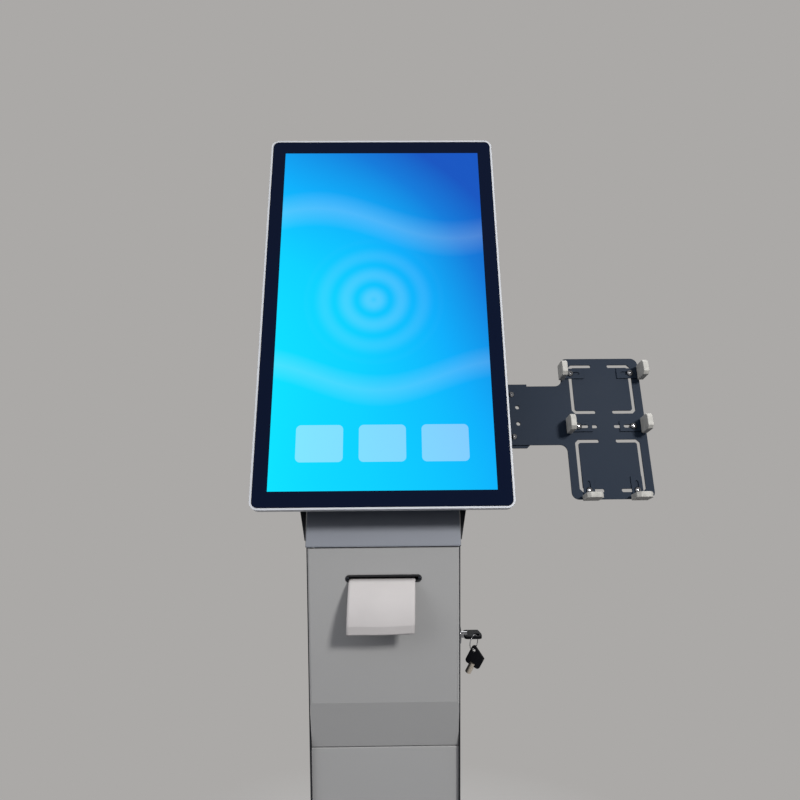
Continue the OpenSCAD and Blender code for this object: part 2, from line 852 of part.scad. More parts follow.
module cutter_housing() {
    slit_low = path_z - 1.5;
    slit_high = path_z + 2.5;
    low_z = path_z - 16;
    high_z = path_z + 17;
    roof = 1;
    half_pocket = blade_t / 2 + slide_gap;
    color("#4a4e54") difference() {
        box([-frame_in, cutter_y, low_z], [frame_in, cutter_y + cutter_d, high_z]);
        box([-blade_w / 2, cutter_y - over, slit_low], [blade_w / 2, cutter_y + cutter_d + over, slit_high]);
        box([-blade_w / 2 - slide_gap, blade_y - half_pocket, path_z - cut_travel],
            [blade_w / 2 + slide_gap, blade_y + half_pocket, high_z - roof]);
    }
}

module cutter_blade() {
    rest = path_z + 3;
    color(steel) box([-blade_w / 2, blade_y - blade_t / 2, rest],
        [blade_w / 2, blade_y + blade_t / 2, rest + blade_h]);
}

// Paper on its way from the roll over the platen to the blade
module paper_web() {
    stand = slide_gap + paper_t / 2;
    roll_r = roll_d / 2 + stand;
    wrap_r = platen_d / 2 + stand;
    way = [platen_y - roll_y, platen_z - roll_z];
    lean = atan2(way.y, way.x) - acos((roll_r - wrap_r) / norm(way));
    off_roll = [roll_y + roll_r * cos(lean), roll_z + roll_r * sin(lean), lean - 90];
    steps = 12;
    color(paper_white) paper_strip(concat(
        [off_roll],
        paper_arc([platen_y, platen_z], wrap_r, lean - 90, 0, steps),
        [[blade_y + blade_t, platen_z + wrap_r, 0]]));
}

module paper_roll() {
    color(paper_white) difference() {
        x_bar(roll_d, -paper_w / 2, paper_w / 2, roll_y, roll_z);
        x_bar(core_d + 2 * slide_gap, -paper_w / 2 - over, paper_w / 2 + over, roll_y, roll_z);
    }
}

// Core with two spigots that lie in the frame's open seats
module roll_core() {
    proud = 2;
    color("#c9a97c") {
        x_bar(core_d, -paper_w / 2 - proud, paper_w / 2 + proud, roll_y, roll_z);
        x_bar(core_end_d, -frame_x - proud, frame_x + proud, roll_y, roll_z);
    }
}

// Involute gear outline about its centre, with one tooth along x
function involute(a) = tan(a) * 180 / PI - a;

module gear_outline(teeth) {
    pitch_r = gear_module * teeth / 2;
    base_rad = pitch_r * cos(pressure);
    tip_r = pitch_r + 0.9 * gear_module;
    root_r = pitch_r - 1.2 * gear_module;
    half = 90 / teeth - backlash / pitch_r * 90 / PI;
    start_r = max(base_rad, root_r);
    steps = 4;
    radii = [for (i = [0 : steps]) start_r + (tip_r - start_r) * i / steps];
    function lean(r) = half + involute(pressure) - involute(acos(min(1, base_rad / r)));
    polygon([for (k = [0 : teeth - 1]) let (a = 360 * k / teeth) each concat(
        [root_r * [cos(a - lean(start_r)), sin(a - lean(start_r))]],
        [for (r = radii) r * [cos(a - lean(r)), sin(a - lean(r))]],
        [for (i = [steps : -1 : 0]) radii[i] * [cos(a + lean(radii[i])), sin(a + lean(radii[i]))]],
        [root_r * [cos(a + lean(start_r)), sin(a + lean(start_r))]])]);
}

module gear_at(y, z, teeth, turn, bore) {
    translate([0, y, z]) across(gear_x, gear_x + gear_w) difference() {
        rotate(turn) gear_outline(teeth);
        circle(d = bore);
    }
}

module platen_roller() {
    color("#2b2b2d") difference() {
        x_bar(platen_d, -paper_w / 2 - 1, paper_w / 2 + 1, platen_y, platen_z);
        x_bar(shaft_d, -frame_x, frame_x, platen_y, platen_z);
    }
}

// Platen shaft moulded with its gear
module platen_gear() {
    color("#d8d4c8") {
        gear_at(platen_y, platen_z, platen_teeth, gear_line + 180, shaft_d / 2);
        x_bar(shaft_d, gear_x, frame_x + 1, platen_y, platen_z);
    }
}

module idler_gear() {
    half_tooth = 180 / idler_teeth;
    color("#d8d4c8")
        gear_at(idler_y, idler_z, idler_teeth, gear_line + half_tooth, m4_d + 2 * run_gap);
}

// Motor shaft with its pinion
module motor_pinion() {
    shaft_in = 12;
    color("#c8b87a") {
        gear_at(pinion_y, pinion_z, pinion_teeth, gear_line, motor_shaft_d / 2);
        x_bar(motor_shaft_d, gear_x, -frame_in + shaft_in, pinion_y, pinion_z);
    }
}

// Power supply standing on the foot bracket
module power_supply() {
    supply_w = 98;
    supply_d = 50;
    supply_h = 150;
    low = base_t + foot_t;
    edge = 4;
    color(steel) difference() {
        box([-supply_w / 2, -supply_d / 2, low], [supply_w / 2, supply_d / 2, low + supply_h]);
        for (z = [low + 5 * edge : 2 * edge : low + supply_h - 5 * edge])
            box([-supply_w / 2 + 3 * edge, -supply_d / 2 - over, z],
                [supply_w / 2 - 3 * edge, -supply_d / 2 + over, z + edge]);
    }
}

// Power inlet: flange on the rear cover, blade socket and the rocker's pocket
socket_x = inlet_x - 12;
socket_w = 24.4;
socket_h = 16.6;
socket_d = 17;
rocker_x = inlet_x + 15;
rocker_w = 11.4;
rocker_r = 9;
rocker_y = back_y - 3;
inlet_lip = 2;

module power_inlet() {
    lip_w = inlet_body_w + 10;
    lip_h = inlet_body_h + 6;
    lip_r = 3;
    body_d = 26;
    face_y = back_y + inlet_lip;
    blade = [2, 14, 3.6];
    color(plastic_black) {
        difference() {
            union() {
                translate([inlet_x, face_y, inlet_z]) rotate([90, 0, 0]) linear_extrude(inlet_lip)
                    rounded(lip_w, lip_h, lip_r);
                box([inlet_x - inlet_body_w / 2, face_y - body_d, inlet_z - inlet_body_h / 2],
                    [inlet_x + inlet_body_w / 2, back_y, inlet_z + inlet_body_h / 2]);
            }
            box([socket_x - socket_w / 2, face_y - socket_d, inlet_z - socket_h / 2],
                [socket_x + socket_w / 2, face_y + over, inlet_z + socket_h / 2]);
            x_bar(2 * (rocker_r + clear), rocker_x - rocker_w / 2 - clear,
                rocker_x + rocker_w / 2 + clear, rocker_y, inlet_z);
        }
        for (place = [[-7, -2], [0, 2], [7, -2]])
            translate([socket_x + place.x, face_y - socket_d - over + blade.y / 2, inlet_z + place.y])
                cube(blade, center = true);
    }
}

// Rocker, stored pressed to one side
module power_rocker() {
    valley = 6.2;
    horn = 7.6;
    floor_y = 5;
    color("#5a1f1f") translate([0, rocker_y, inlet_z]) rotate([rocker_tilt, 0, 0])
        across(rocker_x - rocker_w / 2, rocker_x + rocker_w / 2) intersection() {
            circle(rocker_r);
            polygon([[-floor_y, -rocker_r], [horn, -rocker_r], [valley, 0],
                [horn, rocker_r], [-floor_y, rocker_r]]);
        }
}

// Display frame: a rim round the glass and a ledge under it
ledge = 6;

module front_frame() {
    color(white) on_display() translate([0, 0, housing_t]) difference() {
        linear_extrude(frame_t) rounded(frame_w, frame_h, frame_r);
        translate([0, 0, frame_t - glass_t]) linear_extrude(glass_t + over)
            rounded(glass_w + 2 * glass_gap, glass_h + 2 * glass_gap, frame_r - frame_lip + glass_gap);
        translate([0, 0, -over]) linear_extrude(frame_t + 2 * over)
            square([glass_w - 2 * ledge, glass_h - 2 * ledge], center = true);
    }
}

module touch_glass() {
    color("#0b1524") on_display() translate([0, 0, display_t - glass_t]) linear_extrude(glass_t)
        rounded(glass_w, glass_h, frame_r - frame_lip);
}

module lcd_panel() {
    rim = 9;
    panel_t = 8;
    color("#2f6fd0") on_display() translate([0, 0, display_t - glass_t - panel_t]) linear_extrude(panel_t)
        square([screen_w + 2 * rim, screen_h + 2 * rim], center = true);
}

// Rear housing: a folded box on a flange, with bosses for the mounting screws
board_side = 170;
board_v = 120;
board_n = 10;
board_hole_in = 16;

module rear_housing() {
    flange = 4;
    wall = sheet_t;
    boss_d = 10;
    boss_h = 9;
    post_d = 6;
    grille_u = 36;
    grille_l = 44;
    grille_h = 4;
    grille_pitch = 9;
    grille_rows = 10;
    mid = display_up + frame_h / 2;
    box_w = 2 * housing_half_w;
    box_h = housing_high - housing_low;
    color("#3b4047") on_display() difference() {
        union() {
            difference() {
                union() {
                    translate([0, 0, housing_t - wall]) linear_extrude(wall)
                        rounded(frame_w - 2 * flange, frame_h - 2 * flange, frame_r - flange / 2);
                    linear_extrude(housing_t) square([box_w, box_h], center = true);
                }
                translate([0, 0, wall]) linear_extrude(housing_t)
                    square([box_w - 2 * wall, box_h - 2 * wall], center = true);
            }
            translate([0, vesa_up - mid, 0]) corners(vesa) cylinder(d = boss_d, h = boss_h);
            translate([0, board_v, 0]) corners(board_side - board_hole_in) cylinder(d = post_d, h = board_n);
        }
        translate([0, vesa_up - mid, -over]) corners(vesa) cylinder(d = m4_d, h = boss_h);
        translate([0, tongue_v - mid, -over]) for (side = [-1, 1])
            translate([arm_screw_u, side * arm_screw_v, 0]) cylinder(d = m4_d, h = wall + 2 * over);
        for (side = [-1, 1], i = [0 : grille_rows - 1])
            translate([side * grille_u, board_v + (i - (grille_rows - 1) / 2) * grille_pitch, -over])
                linear_extrude(wall + 2 * over)
                    slot_between([-grille_l / 2, 0], [grille_l / 2, 0], grille_h);
    }
}

// Main board with a finned cooler
module main_board() {
    board_t = 1.6;
    cooler = 60;
    cooler_t = 4;
    fin = [2, cooler, 6];
    fin_pitch = 6;
    socket = [5, 2 * cooler, 5];
    color("#1f5a3a") on_display() translate([0, board_v, board_n]) {
        linear_extrude(board_t) square([board_side, board_side], center = true);
        translate([-cooler / 2, -cooler / 2, board_t]) {
            cube([cooler, cooler, cooler_t]);
            for (x = [0 : fin_pitch : cooler - fin.x]) translate([x, 0, cooler_t]) cube(fin);
        }
        for (i = [1, 3]) translate([cooler / 2 + i * socket.x, -cooler, board_t]) cube(socket);
    }
}

// Button screws: four hold the display, two the arm and two the tongue
module machine_screws() {
    shank_d = m4_d - 2 * slide_gap;
    bite = 4;
    nut_h = 3.2;
    color(nickel) on_head() {
        translate([0, vesa_up, -head_t]) corners(vesa) rotate([180, 0, 0])
            button_screw(shank_d, m4_head_d, m4_head_h, head_t + bite);
        for (side = [-1, 1]) {
            translate([arm_screw_u, tongue_v + side * arm_screw_v, -plate_t]) rotate([180, 0, 0])
                button_screw(shank_d, m4_head_d, m4_head_h, plate_t + bite);
            translate([joint_screw_u, tongue_v + side * joint_screw_v, plate_t])
                button_screw(shank_d, m4_head_d, m4_head_h, 2 * plate_t + bite);
            translate([joint_screw_u, tongue_v + side * joint_screw_v, -plate_t - nut_h]) difference() {
                cylinder(d = m4_head_d, h = nut_h, $fn = 6);
                translate([0, 0, -over]) cylinder(d = shank_d + 2 * run_gap, h = nut_h + 2 * over);
            }
        }
    }
}

// A drill through the arm's or the holder's sheet
module plate_hole(u, v, d) {
    translate([u, v, 0]) cylinder(d = d, h = plate_t + 2 * over);
}

// Arm behind the display, carrying the holder
module holder_arm() {
    notch = 5;
    color(black_coat) on_head() translate([0, tongue_v, -plate_t]) difference() {
        linear_extrude(plate_t) polygon([[arm_start, -arm_h / 2], [arm_end - notch, -arm_h / 2],
            [arm_end, -arm_h / 2 + notch], [arm_end, arm_h / 2], [arm_start, arm_h / 2]]);
        translate([0, 0, -over]) for (side = [-1, 1]) {
            plate_hole(arm_screw_u, side * arm_screw_v, m4_hole_d);
            plate_hole(joint_screw_u, side * joint_screw_v, m4_d);
            plate_hole(spare_hole_u, side * spare_hole_v, spare_hole_d);
        }
    }
}

// One C-shaped adjusting slot, open towards the holder's centre line
module c_slot(side, way) {
    near = way * adjust_near;
    far = way * adjust_far;
    out = side * adjust_out;
    round_r = 3;
    step = way * round_r;
    slot_between([side * adjust_in, near], [out - side * round_r, near], adjust_w);
    slot_between([side * adjust_in, far], [out - side * round_r, far], adjust_w);
    slot_between([out, near + step], [out, far - step], adjust_w);
    slot_between([out - side * round_r, near], [out, near + step], adjust_w);
    slot_between([out - side * round_r, far], [out, far - step], adjust_w);
}

// Holder plate and its tongue, one sheet with adjusting slots
module holder_plate() {
    left = -holder_w / 2;
    tongue_l = holder_u - holder_w / 2 - tongue_start;
    tongue_low = tongue_up - tongue_h / 2;
    tongue_high = tongue_up + tongue_h / 2;
    color(black_coat) on_head() translate([holder_u, holder_v, 0]) difference() {
        linear_extrude(plate_t) union() {
            rounded(holder_w, holder_h, holder_r);
            translate([left - tongue_l, tongue_low]) square([tongue_l + holder_r, tongue_h]);
            difference() {
                translate([left - holder_r, tongue_low - holder_r])
                    square([holder_r + over, tongue_h + 2 * holder_r]);
                for (v = [tongue_low - holder_r, tongue_high + holder_r])
                    translate([left - holder_r, v]) circle(holder_r);
            }
        }
        translate([0, 0, -over]) linear_extrude(plate_t + 2 * over) {
            for (side = [-1, 1], way = [-1, 1]) c_slot(side, way);
            for (side = [-1, 1]) slot_between([side * adjust_in, 0], [side * (adjust_out - 1), 0], adjust_w);
        }
        translate([-holder_u, tongue_up, -over]) for (side = [-1, 1]) {
            plate_hole(joint_screw_u, side * joint_screw_v, m4_hole_d);
            plate_hole(spare_hole_u, side * spare_hole_v, spare_hole_d);
        }
    }
}

// Clip screws with their nuts behind the holder plate
module clip_screws() {
    nut_h = 3;
    tip = 1;
    clip_head_h = 3.5;
    seat = slide_gap + clip_t + slide_gap;
    color(nickel) for (i = [0 : len(clip_places) - 1]) on_clip(i) {
        translate([0, 0, seat])
            button_screw(clip_screw_d, clip_head_d, clip_head_h, seat + plate_t + nut_h + tip);
        translate([0, 0, -plate_t - nut_h]) difference() {
            cylinder(d = clip_head_d, h = nut_h, $fn = 6);
            translate([0, 0, -over]) cylinder(d = clip_screw_d + 2 * run_gap, h = nut_h + 2 * over);
        }
    }
}

// Bent clip: slotted foot on the holder plate and a finger at its outer end
finger_w = clip_w - 4;

module clip(i) {
    outer = clip_places[i][3];
    color(black_coat) on_clip(i) translate([0, 0, slide_gap]) {
        difference() {
            translate([-clip_inner, -clip_w / 2, 0]) cube([clip_inner + outer, clip_w, clip_t]);
            translate([0, 0, -over]) linear_extrude(clip_t + 2 * over)
                slot_between([-clip_travel, 0], [0, 0], adjust_w);
        }
        translate([outer - clip_t, -finger_w / 2, 0]) cube([clip_t, finger_w, finger_h]);
    }
}

// Rubber sleeve over a clip's finger, with cut corners and a thin wall towards the terminal
module sleeve(i) {
    cut = 4;
    root = clip_t + 1.5;
    cap = 2;
    grip_wall = 1.75;
    height = finger_h + cap - root;
    color(rubber_grey) on_clip(i) translate([clip_places[i][3] - clip_t, 0, slide_gap + root]) difference() {
        translate([-grip_wall, 0, 0]) rotate([90, 0, 90]) linear_extrude(sleeve_t)
            polygon([[-sleeve_w / 2, 0], [sleeve_w / 2, 0], [sleeve_w / 2, height - cut],
                [sleeve_w / 2 - cut, height], [-sleeve_w / 2 + cut, height], [-sleeve_w / 2, height - cut]]);
        translate([-slide_gap, -finger_w / 2 - slide_gap, -over])
            cube([clip_t + 2 * slide_gap, finger_w + 2 * slide_gap, finger_h - root + over]);
    }
}

// Tubular lock through the right side plate
module lock_body() {
    inside = half_w - lock_len;
    color(nickel) difference() {
        union() {
            x_bar(lock_d, inside, half_w, lock_y, lock_z);
            x_bar(collar_d, half_w, half_w + collar_t, lock_y, lock_z);
        }
        x_bar(plug_d + 2 * run_gap, inside - over, half_w + collar_t + over, lock_y, lock_z);
    }
}

module lock_nut() {
    nut_t = 5;
    color(nickel) difference() {
        translate([inner_x - nut_t, lock_y, lock_z]) rotate([0, 90, 0])
            cylinder(d = lock_d * 1.4, h = nut_t, $fn = 6);
        x_bar(lock_d + 2 * run_gap, inner_x - nut_t - over, inner_x + over, lock_y, lock_z);
    }
}

// Turning plug with the ring-shaped keyway
key_wall = 1.2;

module lock_plug() {
    face = half_w + collar_t - 0.4;
    color(steel) difference() {
        x_bar(plug_d, cam_x + cam_t, face, lock_y, lock_z);
        difference() {
            x_bar(key_tube_d + 2 * run_gap, key_start, face + over, lock_y, lock_z);
            x_bar(key_tube_d - 2 * key_wall - 2 * run_gap, key_start - over, face - 1, lock_y, lock_z);
        }
    }
    color(steel) x_bar(plug_d / 2, cam_x - 2, cam_x + cam_t, lock_y, lock_z);
}

// Cam, stored unlocked: it points forward and turns up behind the door's keeper
module lock_cam() {
    cam_w = 12;
    cam_l = lock_back - sheet_t - 1.5;
    color(steel) difference() {
        union() {
            x_bar(cam_w + 3, cam_x, cam_x + cam_t, lock_y, lock_z);
            box([cam_x, lock_y - cam_l, lock_z - cam_w / 2],
                [cam_x + cam_t, lock_y, lock_z + cam_w / 2]);
        }
        x_bar(plug_d / 2 + 2 * run_gap, cam_x - over, cam_x + cam_t + over, lock_y, lock_z);
    }
}

// Tube of a key about x, from 0 to len
module key_tube(len) {
    difference() {
        x_bar(key_tube_d, 0, len, 0, 0);
        x_bar(key_tube_d - 2 * key_wall, -over, len - key_root, 0, 0);
    }
}

// Flat grip of a key about x, moulded round the tube's root, with an eye for the ring and its far
// corner cut off: cut gives how far along the grip and how far across it
module key_grip(len, eye, hole_d, cut) {
    corner_r = 4;
    side = sign(eye.y);
    far = -side * key_head_w / 2;
    difference() {
        translate([0, 0, -key_head_t / 2]) linear_extrude(key_head_t) difference() {
            translate([len / 2, 0]) rounded(len, key_head_w, corner_r);
            polygon([[len - cut.x, far], [len, far + side * cut.y], [len + over, far]]);
        }
        x_bar(key_tube_d, -over, key_root, 0, 0);
        translate([eye.x, eye.y, -key_head_t]) cylinder(d = hole_d, h = 2 * key_head_t);
    }
}

module key_shank() {
    color(nickel) translate([key_start, lock_y, lock_z]) key_tube(grip_x + key_root - key_start);
}

module key_head() {
    color(plastic_black) translate([grip_x, lock_y, lock_z])
        key_grip(key_head_l, [eye_x - grip_x, eye_y - lock_y], eye_d, grip_cut);
}

// Ring through the key's eye
module key_ring() {
    color(nickel) translate([ring_x, ring_y, ring_z]) rotate([90, 0, ring_turn])
        rotate_extrude() translate([ring_r, 0]) circle(d = wire_d);
}

// Places its children on the hanging spare key: x runs from the grip's tip towards the tube
module on_spare_key() {
    hang = 0.7;
    eye_z = ring_z - ring_r + wire_d / 2 + hang - spare_eye_d / 2;
    translate([ring_x, ring_y, eye_z]) rotate([90, 0, ring_turn + 90 + spare_twist]) rotate(-90 - spare_lean)
        translate([-spare_eye_in, spare_eye_side, 0]) children();
}

module spare_key_head() {
    color(plastic_black) on_spare_key() translate([spare_head_l, 0, 0]) mirror([1, 0, 0])
        key_grip(spare_head_l, [spare_head_l - spare_eye_in, -spare_eye_side], spare_eye_d, spare_cut);
}

module spare_key_shank() {
    color(nickel) on_spare_key() translate([spare_head_l + spare_tube_l, 0, 0]) mirror([1, 0, 0])
        key_tube(spare_tube_l + key_root);
}

base_plate();
column_foot();
side_plate_left();
side_plate_right();
rear_cover();
lower_panel();
neck_panel();
head_plate();
printer_shelf();
hinge_bracket();
base_bolts();
printer_frame();
print_head();
feed_motor();
cutter_housing();
paper_web();
power_supply();
power_inlet();
front_frame();
touch_glass();
lcd_panel();
rear_housing();
main_board();
machine_screws();
holder_arm();
holder_plate();
clip_screws();
lock_body();
lock_nut();
printer_door();
slot_bezel();
receipt_slip();
hinge_pins();
lock_plug();
lock_cam();
key_shank();
key_head();
key_ring();
spare_key_head();
spare_key_shank();
paper_roll();
roll_core();
platen_roller();
platen_gear();
idler_gear();
motor_pinion();
cutter_blade();
power_rocker();
clip(0);  // clip_upper_left
clip(1);  // clip_upper_right
clip(2);  // clip_middle_left
clip(3);  // clip_middle_right
clip(4);  // clip_lower_left
clip(5);  // clip_lower_right
sleeve(0);  // sleeve_upper_left
sleeve(1);  // sleeve_upper_right
sleeve(2);  // sleeve_middle_left
sleeve(3);  // sleeve_middle_right
sleeve(4);  // sleeve_lower_left
sleeve(5);  // sleeve_lower_right
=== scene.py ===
import json
import math

import bmesh
import bpy
from mathutils import Matrix, Vector


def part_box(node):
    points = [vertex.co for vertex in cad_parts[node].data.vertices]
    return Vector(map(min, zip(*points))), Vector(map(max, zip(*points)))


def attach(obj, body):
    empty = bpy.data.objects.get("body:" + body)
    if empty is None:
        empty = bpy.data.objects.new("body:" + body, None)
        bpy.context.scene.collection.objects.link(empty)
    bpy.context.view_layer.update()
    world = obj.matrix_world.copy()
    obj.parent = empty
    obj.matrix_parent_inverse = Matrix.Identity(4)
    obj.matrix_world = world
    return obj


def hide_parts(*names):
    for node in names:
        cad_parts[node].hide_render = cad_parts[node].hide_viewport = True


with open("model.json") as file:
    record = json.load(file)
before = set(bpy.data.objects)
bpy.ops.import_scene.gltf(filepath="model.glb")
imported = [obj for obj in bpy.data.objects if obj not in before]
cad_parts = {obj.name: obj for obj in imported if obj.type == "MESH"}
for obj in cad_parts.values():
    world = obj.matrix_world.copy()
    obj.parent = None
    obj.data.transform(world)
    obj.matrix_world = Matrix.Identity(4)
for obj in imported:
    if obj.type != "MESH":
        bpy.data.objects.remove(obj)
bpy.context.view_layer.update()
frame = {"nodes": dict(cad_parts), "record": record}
nodes = frame["nodes"]
scene = bpy.context.scene
scene.view_settings.view_transform = "Standard"

# Camera: held by hand a little under shoulder height in front of the door, looking slightly down.
# The frame is square, and the kiosk's lower column runs out of it.
eye = Vector((0.0116, -0.8373, 1.2500))
pitch, yaw, roll = math.radians(3.91), math.radians(0.72), math.radians(-0.38)
film_width, lens_length, nearest = 36, 29.2, 0.02
ahead = Vector((math.sin(yaw) * math.cos(pitch), math.cos(yaw) * math.cos(pitch), -math.sin(pitch)))
level = Vector((math.cos(yaw), -math.sin(yaw), 0))
crown = level.cross(ahead)
rightward = math.cos(roll) * level + math.sin(roll) * crown
upward = math.cos(roll) * crown - math.sin(roll) * level
camera = bpy.data.objects.new("camera", bpy.data.cameras.new("camera"))
camera.data.sensor_width = film_width
camera.data.lens = lens_length
camera.data.clip_start = nearest
camera.matrix_world = Matrix.Translation(eye) @ Matrix((rightward, upward, -ahead)).transposed().to_4x4()
scene.collection.objects.link(camera)
scene.camera = camera


# Studio: a round pale floor that fades into a plain grey backdrop, a soft lamp high on the right,
# a wide weak one on the left, one behind, and room light from overhead.
class Signal:
    """One value in a node tree; sums, products and comparisons of values add Math nodes."""

    def __init__(self, bench, socket):
        self.bench = bench
        self.socket = socket

    def math(self, operation, first, second=0.0):
        return self.bench.node("ShaderNodeMath", {"operation": operation}, {0: first, 1: second})

    def __add__(self, other):
        return self.math("ADD", self, other)

    def __radd__(self, other):
        return self.math("ADD", other, self)

    def __sub__(self, other):
        return self.math("SUBTRACT", self, other)

    def __rsub__(self, other):
        return self.math("SUBTRACT", other, self)

    def __mul__(self, other):
        return self.math("MULTIPLY", self, other)

    def __rmul__(self, other):
        return self.math("MULTIPLY", other, self)

    def __truediv__(self, other):
        return self.math("DIVIDE", self, other)

    def __rtruediv__(self, other):
        return self.math("DIVIDE", other, self)

    def __abs__(self):
        return self.math("ABSOLUTE", self)

    def __neg__(self):
        return self.math("MULTIPLY", self, -1.0)

    def __lt__(self, other):
        return self.math("LESS_THAN", self, other)

    def __gt__(self, other):
        return self.math("GREATER_THAN", self, other)

    def sin(self):
        return self.math("SINE", self)

    def sqrt(self):
        return self.math("SQRT", self)

    def over(self, least):
        return self.math("MAXIMUM", self, least)

    def clamp(self):
        return self.bench.node("ShaderNodeClamp", {}, {0: self})


class Bench:
    """A node tree under construction."""

    def __init__(self, tree):
        self.tree = tree

    def node(self, kind, settings, sockets, out=0):
        """Adds a node: its settings come first, then the values or links of its sockets."""
        made = self.tree.nodes.new(kind)
        for name, value in settings.items():
            if name == "stops":
                ramp = made.color_ramp.elements
                while len(ramp) < len(value):
                    ramp.new(1.0)
                for stop, (place, colour) in zip(ramp, value):
                    stop.position = place
                    stop.color = colour
            else:
                setattr(made, name, value)
        for name, value in sockets.items():
            self.feed(made.inputs[name], value)
        return Signal(self, made.outputs[out]) if made.outputs else None

    def feed(self, socket, value):
        if isinstance(value, list):
            for part in value:
                self.feed(socket, part)
        elif isinstance(value, Signal):
            self.tree.links.new(value.socket, socket)
        else:
            socket.default_value = value

    def mix(self, share, first, second):
        return self.node("ShaderNodeMix", {"data_type": "RGBA"}, {0: share, 6: first, 7: second}, 2)


class Finish(Bench):
    """One surface finish, built from shader nodes round a Principled shader."""

    def __init__(self, name):
        self.material = bpy.data.materials.new(name)
        self.material.use_nodes = True
        super().__init__(self.material.node_tree)
        self.shader = self.tree.nodes["Principled BSDF"]

    def surface(self, sockets):
        for name, value in sockets.items():
            self.feed(self.shader.inputs[name], value)
        return self.material

    def place(self):
        return self.node("ShaderNodeTexCoord", {}, {}, "Object")

    def axes(self):
        spot = self.place()
        return [self.node("ShaderNodeSeparateXYZ", {}, {0: spot}, axis) for axis in "XYZ"]

    def noise(self, scale, detail, fineness=(1, 1, 1)):
        spot = self.node("ShaderNodeMapping", {}, {"Vector": self.place(), "Scale": fineness})
        return self.node("ShaderNodeTexNoise", {}, {"Vector": spot, "Scale": scale, "Detail": detail})

    def bump(self, height, depth):
        return self.node("ShaderNodeBump", {}, {"Height": height, "Distance": depth})


def srgb(red, green, blue):
    """A colour as a paint chart gives it, 0 to 255, in Blender's own light units."""
    def light(part):
        part = part / 255
        return part / 12.92 if part <= 0.04045 else ((part + 0.055) / 1.055) ** 2.4
    return (light(red), light(green), light(blue), 1.0)


def shades(colour, low, high):
    """A darker and a lighter shade of a colour."""
    return tuple(c * low for c in colour[:3]) + (1.0,), tuple(c * high for c in colour[:3]) + (1.0,)


backdrop_grey, floor_grey = srgb(171, 169, 167), srgb(196, 194, 192)
floor_reach, fade_start, fade_width = 1.6, 0.35, 0.75
rim_points = 96
floor_mesh = bpy.data.meshes.new("studio_floor")
floor_mesh.from_pydata([(floor_reach * math.cos(2 * math.pi * i / rim_points),
                         floor_reach * math.sin(2 * math.pi * i / rim_points), 0)
                        for i in range(rim_points)], [], [tuple(range(rim_points))])
floor = bpy.data.objects.new("studio_floor", floor_mesh)
scene.collection.objects.link(floor)
floor_finish = Finish("studio_floor")
from_middle = floor_finish.node("ShaderNodeVectorMath", {"operation": "LENGTH"},
                                {0: floor_finish.place()}, "Value")
fade = ((from_middle - fade_start) / fade_width).clamp()
floor_mesh.materials.append(floor_finish.surface(
    {"Base Color": floor_grey, "Roughness": 0.9, "Alpha": 1 - fade}))

low_light, high_light = (0.055, 0.060, 0.075, 1.0), (0.76, 0.78, 0.82, 1.0)
high_start, high_blend = 0.4, 0.3
world = bpy.data.worlds.new("studio")
scene.world = world
world.use_nodes = True
sky = Bench(world.node_tree)
seen, glossy, clear = (sky.node("ShaderNodeLightPath", {}, {}, ray)
                       for ray in ("Is Camera Ray", "Is Glossy Ray", "Is Transmission Ray"))
outlook = sky.node("ShaderNodeTexCoord", {}, {}, "Generated")
height = sky.node("ShaderNodeSeparateXYZ", {}, {0: outlook}, "Z")
room_light = sky.mix(((height - high_start) / high_blend).clamp(), low_light, high_light)
sky.feed(world.node_tree.nodes["Background"].inputs["Color"],
         sky.mix((seen + glossy + clear).clamp(), room_light, backdrop_grey))


def lamp(name, place, target, size, power, tint=(1, 1, 1)):
    """A square soft box aimed at a point."""
    light = bpy.data.lights.new(name, "AREA")
    light.size = size
    light.energy = power
    light.color = tint
    made = bpy.data.objects.new(name, light)
    aim = (Vector(target) - Vector(place)).to_track_quat("-Z", "Y").to_matrix().to_4x4()
    made.matrix_world = Matrix.Translation(place) @ aim
    scene.collection.objects.link(made)


lamp("key_lamp", place=(1.00, -1.53, 2.29), target=(0.05, -0.08, 1.0), size=0.32, power=34,
     tint=(1.0, 0.985, 0.96))
lamp("fill_lamp", place=(-2.0, -1.6, 2.2), target=(0.0, 0.0, 1.0), size=1.6, power=16)
lamp("back_lamp", place=(0.4, 2.4, 2.4), target=(0.0, 0.0, 1.1), size=1.6, power=30)


# Base plate and foot: a 10 mm steel plate, ground round its edge, and a folded bracket bolted to it
# inside the column. Both are powder coated: sprayed and baked, with a fine orange-peel skin.
body_of = {node: body for body, names in frame["record"]["behaviour"]["bodies"].items() for node in names}
slot_of = {piece["node"]: piece["material_slot"] for piece in frame["record"]["subparts"]}


def powder_coat(name, colour, grain, depth, matt, shine=0.5):
    """Baked powder: cloudy and flecked in colour, with a fine orange-peel skin."""
    coat = Finish(name)
    fleck_grain, cloud_share, cloud_matt, peel_matt = 0.4, 0.75, 0.14, 0.1
    dark, pale = shades(colour, low=0.94, high=1.05)
    cloud = coat.noise(scale=6.0, detail=4.0)
    peel = coat.noise(scale=grain, detail=2.0)
    fleck = coat.noise(scale=grain * fleck_grain, detail=1.0)
    shade = (cloud_share * cloud + (1 - cloud_share) * fleck).clamp()
    return coat.surface({"Base Color": coat.mix(shade, dark, pale),
                         "Roughness": matt + cloud_matt * (cloud - 0.5) + peel_matt * (peel - 0.5),
                         "Specular IOR Level": shine,
                         "Normal": coat.bump(peel, depth)})


def new_piece(name, mesh):
    piece = bpy.data.objects.new(name, mesh)
    scene.collection.objects.link(piece)
    return piece


